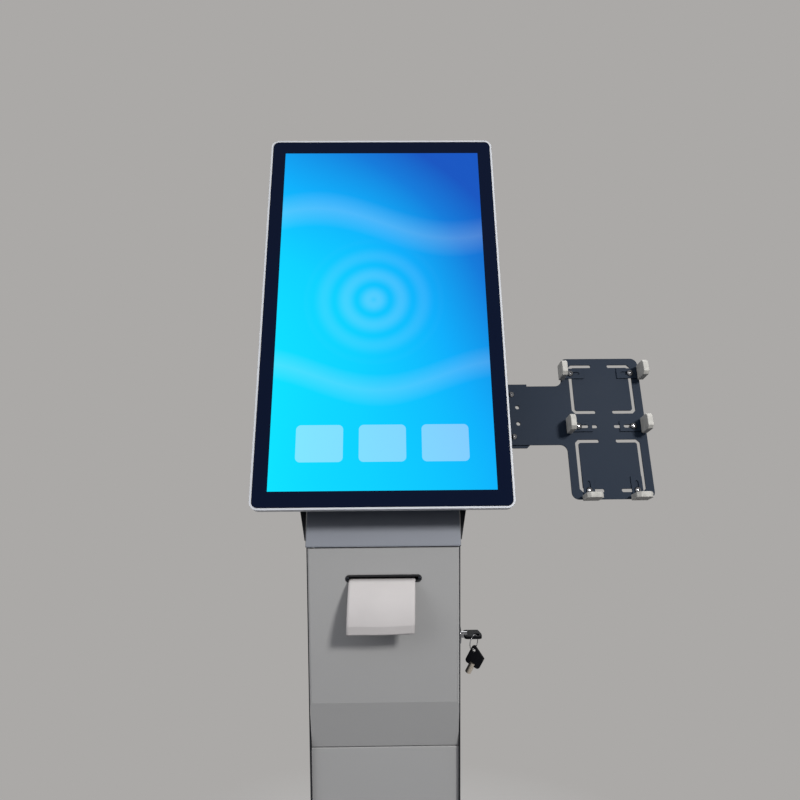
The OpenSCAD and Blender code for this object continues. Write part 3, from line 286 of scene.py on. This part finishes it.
def settled(piece, finish, body, slot, *stands_for):
    """Turns a piece's modifiers into plain mesh, gives it its finish and fixes it to a body."""
    view = bpy.context.evaluated_depsgraph_get()
    plain = bpy.data.meshes.new_from_object(piece.evaluated_get(view))
    piece.modifiers.clear()
    piece.data = plain
    plain.name = piece.name
    plain.materials.clear()
    plain.materials.append(finish)
    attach(piece, body)
    if stands_for:
        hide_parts(*stands_for)


merge_gap = 2e-6
flat_angle, sharp_angle = math.radians(0.6), math.radians(35)


def deburred(finish, *names, radius, steps=2):
    """Solids with their sharp edges broken by the given radius, standing for the plain solids."""
    for name in names:
        work = bmesh.new()
        work.from_mesh(nodes[name].data)
        bmesh.ops.remove_doubles(work, verts=work.verts, dist=merge_gap)
        bmesh.ops.dissolve_limit(work, angle_limit=flat_angle, verts=work.verts, edges=work.edges)
        mesh = bpy.data.meshes.new(name + "_skin")
        work.to_mesh(mesh)
        work.free()
        for face in mesh.polygons:
            face.use_smooth = True
        piece = new_piece(name + "_skin", mesh)
        edge = piece.modifiers.new("edge", "BEVEL")
        edge.width = radius
        edge.segments = steps
        edge.limit_method = "ANGLE"
        edge.angle_limit = sharp_angle
        edge.miter_outer = "MITER_ARC"
        closed = piece.modifiers.new("closed", "WELD")
        closed.merge_threshold = merge_gap
        even = piece.modifiers.new("even", "WEIGHTED_NORMAL")
        even.keep_sharp = True
        settled(piece, finish, body_of[name], slot_of[name], name)


base_coat = powder_coat("base_powder_coat", srgb(164, 166, 167), grain=900, depth=0.00008, matt=0.46)
black_coat = powder_coat("black_powder_coat", srgb(31, 42, 57), grain=1500, depth=0.00008,
                         matt=0.55, shine=0.1)
deburred(base_coat, "base_plate", radius=0.0012, steps=3)
deburred(black_coat, "column_foot", radius=0.0005)


# Foot bolts: four hexagon bolts of 8 mm, through the foot bracket into blind holes of the base plate.
# They are plain shop steel, zinc plated, with a rolled grain and a cloudy lustre.
def rolled_steel(name, colour, matt, grain, spread=0.2):
    """Plated or bare metal; grain says how fine its streaks are along X, Y and Z."""
    metal = Finish(name)
    dark, pale = shades(colour, low=0.82, high=1.08)
    streak = metal.noise(scale=70, detail=4.0, fineness=grain)
    cloud = metal.noise(scale=16, detail=3.0)
    return metal.surface({"Base Color": metal.mix(cloud, dark, pale), "Metallic": 1.0,
                          "Roughness": matt + spread * (streak - 0.5),
                          "Normal": metal.bump(streak, depth=0.00003)})


zinc = rolled_steel("zinc_plated_steel", srgb(186, 188, 190), matt=0.38, grain=(1, 8, 8))
deburred(zinc, "base_bolts", radius=0.0004)

# Column: two black side plates, a light lower panel and neck panel, a rear cover, and the head plate
# that carries the display, all cut and folded from steel sheet and powder coated. Small screws join
# the rear cover to the side plates.
light_coat = powder_coat("light_grey_powder_coat", srgb(173, 173, 173), grain=1100, depth=0.00005,
                         matt=0.44, shine=0.35)
side_coat = powder_coat("side_powder_coat", srgb(23, 25, 31), grain=1500, depth=0.00008,
                        matt=0.5, shine=0.2)
# The neck panel has the same light coat as the lower panel. Here it is painted darker and bluer, as
# painted shade from the display overhanging it.
shaded_neck_coat = powder_coat("neck_powder_coat", srgb(140, 144, 153), grain=1100, depth=0.00005,
                        matt=0.5, shine=0.2)
deburred(side_coat, "side_plate_left", "side_plate_right", radius=0.0003)
deburred(base_coat, "rear_cover", radius=0.0004)
deburred(light_coat, "lower_panel", radius=0.0006, steps=3)
deburred(shaded_neck_coat, "neck_panel", radius=0.0006, steps=3)
deburred(side_coat, "head_plate", radius=0.0005)


class Jig(Bench):
    """A Geometry Nodes tree with named inputs, for a shape that repeats or follows a path."""

    def __init__(self, name, inputs):
        super().__init__(bpy.data.node_groups.new(name, "GeometryNodeTree"))
        face = self.tree.interface
        self.plug = {}
        for label, kind in inputs:
            socket = face.new_socket(label, in_out="INPUT", socket_type="NodeSocket" + kind)
            self.plug[label] = socket.identifier
        face.new_socket("Piece", in_out="OUTPUT", socket_type="NodeSocketGeometry")

    def given(self, label):
        return self.node("NodeGroupInput", {}, {}, label)

    def lifted(self, shape, rise):
        up = self.node("ShaderNodeCombineXYZ", {}, {"Z": rise})
        return self.node("GeometryNodeTransform", {}, {"Geometry": shape, "Translation": up})

    def turn(self):
        return self.node("FunctionNodeEulerToRotation", {}, {"Euler": self.given("Turn")})

    def close(self, shape):
        """Ends the tree with plain mesh, smooth faces and the finish."""
        plain = self.node("GeometryNodeRealizeInstances", {}, {"Geometry": shape})
        smooth = self.node("GeometryNodeSetShadeSmooth", {}, {"Geometry": plain})
        self.node("NodeGroupOutput", {}, {"Piece": self.node("GeometryNodeSetMaterial", {}, {
            "Geometry": smooth, "Material": self.given("Finish")})})

    def fit(self, piece, values):
        """Puts the tree on a piece, with its inputs set by their sockets' identifiers."""
        modifier = piece.modifiers.new("jig", "NODES")
        modifier.node_group = self.tree
        for label, value in values.items():
            modifier[self.plug[label]] = value


screw_lengths = ("Head Radius", "Head Height", "Socket Radius", "Shank Radius", "Shank Length",
                 "Nut Radius", "Nut Height", "Nut Depth")
screw_jig = Jig("screw_jig", [("Places", "Geometry")] + [(label, "Float") for label in screw_lengths]
                + [("With Nut", "Bool"), ("Turn", "Vector"), ("Finish", "Material")])
dome_sides, dome_rings, shank_sides, hexagon = 28, 6, 20, 6
dome_top, socket_rise = 0.96, 0.95
screw_edge = math.radians(32)


def bar(sides, radius, length, rings=1):
    """A round or six-sided bar along Z, for the screw's head, socket, shank and nut."""
    return screw_jig.node("GeometryNodeMeshCylinder", {}, {
        "Vertices": sides, "Side Segments": rings, "Radius": radius, "Depth": length})


head_h = screw_jig.given("Head Height")
spot = screw_jig.node("GeometryNodeInputPosition", {}, {})
spot_x, spot_y, spot_z = (screw_jig.node("ShaderNodeSeparateXYZ", {}, {0: spot}, axis) for axis in "XYZ")
climb = (spot_z / head_h + 0.5) * dome_top
narrow = (1 - climb * climb).sqrt()
dome = screw_jig.node("GeometryNodeSetPosition", {}, {
    "Geometry": bar(dome_sides, screw_jig.given("Head Radius"), head_h, dome_rings),
    "Position": screw_jig.node("ShaderNodeCombineXYZ", {}, {
        "X": spot_x * narrow, "Y": spot_y * narrow, "Z": spot_z + head_h * 0.5})})
recess = screw_jig.lifted(bar(hexagon, screw_jig.given("Socket Radius"), head_h), head_h * socket_rise)
head = screw_jig.node("GeometryNodeMeshBoolean", {"operation": "DIFFERENCE", "solver": "EXACT"},
                      {"Mesh 1": dome, "Mesh 2": [recess]})
shank_l = screw_jig.given("Shank Length")
shank = screw_jig.lifted(bar(shank_sides, screw_jig.given("Shank Radius"), shank_l), shank_l * -0.5)
nut_h = screw_jig.given("Nut Height")
nut = screw_jig.lifted(bar(hexagon, screw_jig.given("Nut Radius"), nut_h),
                       -(screw_jig.given("Nut Depth") + nut_h * 0.5))
nut = screw_jig.node("GeometryNodeSwitch", {"input_type": "GEOMETRY"},
                     {"Switch": screw_jig.given("With Nut"), "True": nut})
screw = screw_jig.node("GeometryNodeJoinGeometry", {}, {"Geometry": [head, shank, nut]})
screw_jig.close(screw_jig.node("GeometryNodeInstanceOnPoints", {}, {
    "Points": screw_jig.given("Places"), "Instance": screw, "Rotation": screw_jig.turn()}))


def screws(name, finish, body, slot, groups, *stands_for):
    """Sets of like screws in one piece: each group has its places, its turn and its sizes in mm."""
    work = bmesh.new()
    for places, turn, sizes in groups:
        mesh = bpy.data.meshes.new(name)
        mesh.from_pydata([tuple(place) for place in places], [], [])
        template = new_piece(name + "_places", mesh)
        screw_jig.fit(template, {label: size / 1000 for label, size in sizes.items()} | {
            "With Nut": "Nut Radius" in sizes, "Finish": finish,
            "Turn": [math.radians(angle) for angle in turn]})
        view = bpy.context.evaluated_depsgraph_get()
        work.from_mesh(bpy.data.meshes.new_from_object(template.evaluated_get(view)))
        bpy.data.objects.remove(template)
    bmesh.ops.remove_doubles(work, verts=work.verts, dist=merge_gap)
    bmesh.ops.dissolve_degenerate(work, edges=work.edges, dist=merge_gap)
    whole = bpy.data.meshes.new(name)
    work.to_mesh(whole)
    work.free()
    whole.set_sharp_from_angle(angle=screw_edge)
    settled(new_piece(name, whole), finish, body, slot, *stands_for)


nickel = rolled_steel("bright_nickel", srgb(150, 151, 155), matt=0.2, grain=(5, 5, 1), spread=0.1)
small_screw = {"Head Radius": 3.4, "Head Height": 1.9, "Socket Radius": 1.3,
               "Shank Radius": 1.4, "Shank Length": 5.0}
side_face, seam_y = 0.0939, 0.0615
seam_heights = (0.100, 0.330, 0.560, 0.790, 0.985)
screws("seam_screws", nickel, "column", "nickel", [
    ([(side * side_face, seam_y, height) for height in seam_heights], (0, side * 90, 0), small_screw)
    for side in (-1, 1)])


# Printer door: one folded sheet with a slanted foot, hung on two steel pins on its left edge and
# held by the lock's cam behind a keeper on its right.
def dressed(finish, *names):
    """Plain solids that keep their own edges and get a finish."""
    for name in names:
        solid = nodes[name]
        if not solid.material_slots:
            solid.data.materials.append(finish)
        for slot in solid.material_slots:
            slot.material = finish


deburred(light_coat, "printer_door", radius=0.0005, steps=3)
dressed(zinc, "hinge_bracket", "hinge_pins")


# Receipt slot: a black moulded bezel, a flat lip with round ends and a sleeve pushed through the door.
# A small blackened screw at each end holds it.
def moulding(name, colour, matt, grain=1800, shine=0.5):
    """Moulded plastic, rubber or board: a little cloudy, with the mould's fine spark-eroded skin."""
    skin = Finish(name)
    skin_matt = 0.2
    dark, pale = shades(colour, low=0.78, high=1.25)
    cloud = skin.noise(scale=30, detail=3.0)
    spark = skin.noise(scale=grain, detail=2.0)
    return skin.surface({"Base Color": skin.mix(cloud, dark, pale),
                         "Roughness": matt + skin_matt * (spark - 0.5),
                         "Specular IOR Level": shine,
                         "Normal": skin.bump(spark, depth=0.00005)})


black_plastic = moulding("black_plastic", srgb(22, 23, 27), matt=0.42)
deburred(black_plastic, "slot_bezel", radius=0.0003)
black_steel = rolled_steel("black_oxide_screw", srgb(52, 55, 62), matt=0.34, grain=(1, 1, 1))
bezel_screw = {"Head Radius": 2.1, "Head Height": 0.9, "Socket Radius": 0.8,
               "Shank Radius": 0.9, "Shank Length": 3.0}
bezel_end, bezel_face, slot_z = 0.0436, -0.0708, 0.9819
screws("bezel_screws", black_steel, "door", "black_plastic", [
    ([(side * bezel_end, bezel_face, slot_z) for side in (-1, 1)], (90, 0, 0), bezel_screw)])

# Receipt: thermal paper, 80 mm wide, blank, that rests on the slot's lower lip, bends over it and
# keeps the curl of the roll it came from. Its last centimetre hangs straight down.
thermal_paper = Finish("thermal_paper")
paper_dark, paper_pale = srgb(192, 188, 188), srgb(204, 200, 199)
paper_fibre = thermal_paper.noise(scale=420, detail=5.0, fineness=(1, 0.35, 0.35))
paper_cloud = thermal_paper.noise(scale=25, detail=2.0)
thermal_paper.surface({"Base Color": thermal_paper.mix(paper_cloud, paper_dark, paper_pale),
                       "Roughness": 0.62 + 0.15 * (paper_fibre - 0.5),
                       "Normal": thermal_paper.bump(paper_fibre, depth=0.00003)})
paper_half, paper_t, slot_lip = 0.040, 0.00016, -0.071
paper_left, drift_left = 0.0016, 0.0022
wave_depth, wave_count, wave_start = 0.0005, 3.1, 1.1
skew, wave_lift = 0.0007, 0.3
rest_z, fold_r, curl_r = 0.97995, 0.008, 0.076
fold_end, curl_end, hang = math.radians(40), math.radians(78), math.radians(93)
hang_r, hang_length = 0.005, 0.0100
fold_steps, curl_steps, hang_steps, cross_steps = 14, 36, 6, 24
held_rows = 4
paper_path = [(slot_lip + tucked, rest_z) for tucked in (0.012, 0.004)]
for i in range(fold_steps + 1):
    slope = fold_end * i / fold_steps
    paper_path.append((slot_lip - fold_r * math.sin(slope), rest_z - fold_r * (1 - math.cos(slope))))
curl_y = slot_lip + (curl_r - fold_r) * math.sin(fold_end)
curl_z = rest_z - fold_r - (curl_r - fold_r) * math.cos(fold_end)
for i in range(1, curl_steps + 1):
    slope = fold_end + (curl_end - fold_end) * i / curl_steps
    paper_path.append((curl_y - curl_r * math.sin(slope), curl_z + curl_r * math.cos(slope)))
hang_y = curl_y - (curl_r - hang_r) * math.sin(curl_end)
hang_z = curl_z + (curl_r - hang_r) * math.cos(curl_end)
for i in range(1, hang_steps + 1):
    slope = curl_end + (hang - curl_end) * i / hang_steps
    paper_path.append((hang_y - hang_r * math.sin(slope), hang_z + hang_r * math.cos(slope)))
for i in range(1, hang_steps + 1):
    down = hang_length * i / hang_steps
    paper_path.append((hang_y - hang_r * math.sin(hang) - down * math.cos(hang),
                       hang_z + hang_r * math.cos(hang) - down * math.sin(hang)))
receipt_points, receipt_faces = [], []
for row, (along_y, along_z) in enumerate(paper_path):
    free = max(0.0, row - held_rows) / (len(paper_path) - 1 - held_rows)
    for column in range(cross_steps + 1):
        side = 2 * column / cross_steps - 1
        sway = wave_depth * free * math.sin(wave_count * side + wave_start)
        askew = skew * free * (1 + side) - wave_lift * sway
        receipt_points.append((side * paper_half - paper_left - drift_left * free,
                               along_y - sway, along_z + askew))
for row in range(len(paper_path) - 1):
    for column in range(cross_steps):
        corner = row * (cross_steps + 1) + column
        receipt_faces.append((corner, corner + cross_steps + 1, corner + cross_steps + 2, corner + 1))
receipt_mesh = bpy.data.meshes.new("receipt")
receipt_mesh.from_pydata(receipt_points, [], receipt_faces)
for face in receipt_mesh.polygons:
    face.use_smooth = True
receipt = new_piece("receipt", receipt_mesh)
paper_wall = receipt.modifiers.new("thickness", "SOLIDIFY")
paper_wall.thickness = paper_t
paper_wall.offset = 0
settled(receipt, thermal_paper.material, "door", "paper", "receipt_slip")

# Printer: a zinc-plated frame on a shelf, with a finned thermal head, a cutter, a rubber platen on a
# moulded gear shaft, an idler, a feed motor with its pinion, and the paper roll on its card core.
cast_alloy = rolled_steel("cast_alloy", srgb(150, 152, 156), matt=0.5, grain=(1, 1, 1))
motor_can = rolled_steel("motor_can", srgb(118, 122, 126), matt=0.42, grain=(10, 1, 1))
cutter_plastic = moulding("cutter_plastic", srgb(72, 77, 84), matt=0.5)
gear_plastic = moulding("gear_plastic", srgb(218, 212, 196), matt=0.45, grain=900)
black_rubber = moulding("black_rubber", srgb(40, 40, 42), matt=0.75, grain=700)
rolled_card = moulding("rolled_card", srgb(190, 160, 118), matt=0.8, grain=500)
deburred(zinc, "printer_shelf", "printer_frame", radius=0.0003)
deburred(cast_alloy, "print_head", radius=0.0003)
deburred(motor_can, "feed_motor", radius=0.0006)
deburred(cutter_plastic, "cutter_housing", radius=0.0005)
dressed(zinc, "cutter_blade")
dressed(black_rubber, "platen_roller")
dressed(gear_plastic, "platen_gear", "idler_gear", "motor_pinion")
deburred(rolled_card, "roll_core", radius=0.0004)
dressed(thermal_paper.material, "paper_web")
roll_y, roll_z = 0.012, 0.90385
layer_waves = 9000.0
wound_paper = Finish("wound_paper")
roll_axes = wound_paper.axes()
out_y, out_z = roll_axes[1] - roll_y, roll_axes[2] - roll_z
layers = 0.5 + 0.5 * ((out_y * out_y + out_z * out_z).sqrt() * layer_waves).sin()
wound_paper.surface({"Base Color": wound_paper.mix(layers, srgb(222, 218, 216), srgb(240, 238, 236)),
                     "Roughness": 0.7 + 0.1 * (layers - 0.5),
                     "Normal": wound_paper.bump(layers, depth=0.00008)})
deburred(wound_paper.material, "paper_roll", radius=0.0004)

# Power: a supply that stands on the foot bracket, in a cast case with shallow grooves across its front,
# and a moulded inlet with a blade socket and a red rocker, set into the rear cover.
rocker_red = moulding("rocker_plastic", srgb(120, 26, 26), matt=0.3)
deburred(cast_alloy, "power_supply", radius=0.0008)
deburred(black_plastic, "power_inlet", radius=0.0004)
deburred(rocker_red, "power_rocker", radius=0.0005)

# Display: a folded rear housing screwed to a white frame round a black-edged cover glass, with the lit
# panel and the main board inside. The picture is a blue field with soft waves, rings and blank tiles.
tilt = 22.9
lean, stand = math.sin(math.radians(tilt)), math.cos(math.radians(tilt))
head_y, head_z = -70, 1020.8


def on_head(u, v, n):
    """A point on the slanted head, in mm: u to the right, v up the slope, n out of its mounting plane."""
    return Vector((u, head_y + v * lean - n * stand, head_z + v * stand + n * lean)) / 1000


display_low, frame_h = 36.8, 519
housing_coat = powder_coat("housing_powder_coat", srgb(52, 57, 64), grain=1300, depth=0.0001, matt=0.5)
frame_coat = powder_coat("white_frame_coat", srgb(199, 202, 208), grain=1200, depth=0.00003,
                         matt=0.36, shine=0.3)
deburred(housing_coat, "rear_housing", radius=0.0006)
deburred(frame_coat, "front_frame", radius=0.0011, steps=3)
rim_u, rim_n, rim_in = 142, 36.5, 12
side_shares, end_places = (0.04, 0.27, 0.5, 0.73, 0.96), (-70, 0, 70)
rim_places = [on_head(side * rim_u, display_low + frame_h * share, rim_n)
              for side in (-1, 1) for share in side_shares]
rim_places += [on_head(u, display_low + end, rim_n)
               for u in end_places for end in (rim_in, frame_h - rim_in)]
face_back = (-(90 + tilt), 0, 0)
screws("housing_screws", nickel, "column", "nickel", [(rim_places, face_back, small_screw)])

screen_w, screen_h, screen_n = 0.2678, 0.4760, 50
screen_mid = on_head(0, display_low + frame_h / 2, screen_n)
deepen_across, deepen_up = 0.58, 0.60
unlit = (0, 0, 0, 1)


def lit_field(finish):
    """Places across and up the picture, a mask of its area, and its blue ground."""
    x, y, z = finish.axes()
    across = x / screen_w + 0.5
    rise = (y * lean + z * stand - (screen_mid.y * lean + screen_mid.z * stand)) / screen_h + 0.5
    mask = (abs(across - 0.5) < 0.5) * (abs(rise - 0.5) < 0.5)

    def wave(swing, across_rate, rise_rate, start):
        return swing * (across * across_rate + rise * rise_rate + start).sin()

    sway = (wave(swing=0.035, across_rate=5.2, rise_rate=2.6, start=0.0)
            + wave(swing=0.03, across_rate=3.1, rise_rate=-6.4, start=1.2))
    deepness = (deepen_across * across + deepen_up * rise * rise + sway).clamp()
    field = finish.node("ShaderNodeValToRGB", {"stops": [
        (0.0, srgb(0, 228, 255)), (0.3, srgb(0, 209, 255)), (0.55, srgb(1, 174, 249)),
        (0.8, srgb(10, 122, 216)), (1.0, srgb(18, 84, 190))]}, {0: deepness})
    return across, rise, mask, field


def rounded_tile(x, y, half_w, half_h, corner):
    """1 inside a rectangle with round corners about 0, 0."""
    out_x = (abs(x) - (half_w - corner)).over(0.0)
    out_y = (abs(y) - (half_h - corner)).over(0.0)
    return (out_x * out_x + out_y * out_y).sqrt() < corner


cover_glass = Finish("cover_glass")
across, rise, mask, field = lit_field(cover_glass)


def ribbon(middle, swing, waves, start, half_width, glow):
    """A soft band that winds across the picture, brightest along its middle."""
    return (1 - abs(rise - middle - swing * (across * waves + start).sin()) / half_width).clamp() * glow


tall = screen_h / screen_w
rings_across, rings_up, rings_reach, rings_waves, rings_glow = 0.46, 0.52, 0.34, 58.0, 0.13
drop_x = across - rings_across
drop_y = (rise - rings_up) * tall
reach = (drop_x * drop_x + drop_y * drop_y).sqrt()
rings = (0.5 + 0.5 * (reach * rings_waves).sin()) * (1 - reach / rings_reach).clamp() * rings_glow
upper_ribbon = ribbon(middle=0.76, swing=0.05, waves=4.6, start=0.8, half_width=0.06, glow=0.11)
lower_ribbon = ribbon(middle=0.30, swing=0.04, waves=5.4, start=2.1, half_width=0.045, glow=0.09)
picture = cover_glass.mix((rings + upper_ribbon + lower_ribbon).clamp(), field, srgb(205, 246, 255))
tile_up, tile_half_w, tile_half_h, tile_corner, tile_glow = 0.12, 0.105, 0.085, 0.022, 0.26
for tile_across in (0.22, 0.5, 0.78):
    inside = rounded_tile(across - tile_across, (rise - tile_up) * tall,
                          tile_half_w, tile_half_h, tile_corner)
    picture = cover_glass.mix(inside * tile_glow, picture, srgb(236, 252, 255))
smear = cover_glass.noise(scale=9.0, detail=4.0)
cover_glass.surface({"Base Color": srgb(5, 16, 40), "Roughness": 0.08 + 0.08 * (smear - 0.4),
                     "Emission Color": cover_glass.mix(mask, unlit, picture), "Emission Strength": 1.0,
                     "Specular IOR Level": 0.1})
deburred(cover_glass.material, "touch_glass", radius=0.0006)

panel = Finish("picture_panel")
_, _, mask, field = lit_field(panel)
dressed(panel.surface({"Base Color": srgb(20, 24, 30), "Roughness": 0.4,
                       "Emission Color": panel.mix(mask, unlit, field), "Emission Strength": 0.8}),
        "lcd_panel")
dressed(moulding("lacquered_board", srgb(30, 92, 60), matt=0.35, grain=600), "main_board")

# Terminal holder: an arm and a slotted plate, laser cut and powder coated black, with six bent clips
# that slide on their screws. Each clip's finger has a grey rubber sleeve pushed on. Eight machine screws
# hold the display, the arm and the plate's tongue.
deburred(black_coat, "holder_arm", "holder_plate", radius=0.0003)
sleeve_rubber = Finish("grey_rubber")
dust = sleeve_rubber.noise(scale=110, detail=6.0)
speck = sleeve_rubber.noise(scale=750, detail=3.0)
sleeve_rubber.surface({"Base Color": sleeve_rubber.mix(dust, srgb(140, 139, 135), srgb(214, 212, 206)),
                       "Roughness": 0.72 + 0.2 * (speck - 0.5),
                       "Normal": sleeve_rubber.bump(speck, depth=0.00015)})
for row in ("upper", "middle", "lower"):
    for side in ("left", "right"):
        deburred(black_coat, f"clip_{row}_{side}", radius=0.0003)
        deburred(sleeve_rubber.material, f"sleeve_{row}_{side}", radius=0.0009, steps=3)
holder_u, holder_v, clip_seat = 285, 147.9, 3.7
clip_spots = ((39.2, 72.3), (35, 0), (30, -82.7))
clip_places = [on_head(holder_u + side * out, holder_v + up, clip_seat)
               for out, up in clip_spots for side in (-1, 1)]
clip_screw = {"Head Radius": 4.2, "Head Height": 3.5, "Socket Radius": 1.5, "Shank Radius": 1.8,
              "Shank Length": 7.7, "Nut Radius": 4.2, "Nut Height": 3.0, "Nut Depth": 3.7}
face_front = (90 - tilt, 0, 0)
screws("clip_screw_set", nickel, "column", "nickel", [(clip_places, face_front, clip_screw)],
       "clip_screws")
mount_v, mount_half, head_back = 232, 50, -3
tongue_v, arm_back, tongue_front = 163.7, -2, 2
arm_screw_u, arm_screw_v, joint_screw_u, joint_screw_v = 111.9, 30, 166.8, 28.4
m4_screw = {"Head Radius": 4.0, "Head Height": 2.4, "Socket Radius": 1.4, "Shank Radius": 1.9}
mount_screw = m4_screw | {"Shank Length": 7.0}
arm_screw = m4_screw | {"Shank Length": 6.0}
joint_screw = m4_screw | {"Shank Length": 8.0, "Nut Radius": 4.0, "Nut Height": 3.2, "Nut Depth": 4.0}
mount_places = [on_head(u, mount_v + v, head_back)
                for u in (-mount_half, mount_half) for v in (-mount_half, mount_half)]
arm_places = [on_head(arm_screw_u, tongue_v + side * arm_screw_v, arm_back) for side in (-1, 1)]
joint_places = [on_head(joint_screw_u, tongue_v + side * joint_screw_v, tongue_front) for side in (-1, 1)]
screws("mount_screw_set", nickel, "column", "nickel", [
    (mount_places, face_back, mount_screw), (arm_places, face_back, arm_screw),
    (joint_places, face_front, joint_screw)], "machine_screws")

# Lock and keys: a nickel-plated tubular lock through the right side plate, held by a hexagon nut, with
# a key left in it and a split ring of spring wire with the spare. The grips are moulded black plastic.
key_plastic = moulding("key_plastic", srgb(18, 18, 22), matt=0.6, grain=1200, shine=0.05)
deburred(nickel, "lock_body", radius=0.0005, steps=3)
deburred(nickel, "lock_nut", radius=0.0005)
dressed(zinc, "lock_plug")
deburred(zinc, "lock_cam", radius=0.0003)
key_nickel = rolled_steel("brushed_nickel", srgb(212, 203, 190), matt=0.40, grain=(6, 1, 1))
dressed(nickel, "key_shank")
dressed(key_nickel, "spare_key_shank")
deburred(key_plastic, "key_head", "spare_key_head", radius=0.0008, steps=3)

ring_jig = Jig("ring_jig", [("Ring Radius", "Float"), ("Wire Radius", "Float"), ("Turn", "Vector"),
                            ("Centre", "Vector"), ("Finish", "Material")])
ring_turns, coil_rise, ring_points, wire_sides = 1.96, 2.1, 72, 12
wire_r, ring_r = ring_jig.given("Wire Radius"), ring_jig.given("Ring Radius")
coil = ring_jig.node("GeometryNodeCurveSpiral", {}, {
    "Resolution": ring_points, "Rotations": ring_turns, "Start Radius": ring_r, "End Radius": ring_r,
    "Height": wire_r * coil_rise})
wire = ring_jig.node("GeometryNodeCurveToMesh", {}, {
    "Curve": ring_jig.lifted(coil, wire_r * (-coil_rise / 2)), "Fill Caps": True,
    "Profile Curve": ring_jig.node("GeometryNodeCurvePrimitiveCircle", {},
                                   {"Resolution": wire_sides, "Radius": wire_r})})
ring_jig.close(ring_jig.node("GeometryNodeTransform", {}, {
    "Geometry": wire, "Translation": ring_jig.given("Centre"), "Rotation": ring_jig.turn()}))
ring_low, ring_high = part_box("key_ring")
ring_way = math.radians(230)
ring_axis = Vector((-math.sin(ring_way), math.cos(ring_way), 0))
split_ring = new_piece("split_ring", bpy.data.meshes.new("split_ring"))
ring_jig.fit(split_ring, {"Ring Radius": 0.009, "Wire Radius": 0.00038,
                          "Turn": list(ring_axis.to_track_quat("Z", "Y").to_euler()),
                          "Centre": list((ring_low + ring_high) / 2), "Finish": nickel})
settled(split_ring, nickel, "ring", "nickel", "key_ring")
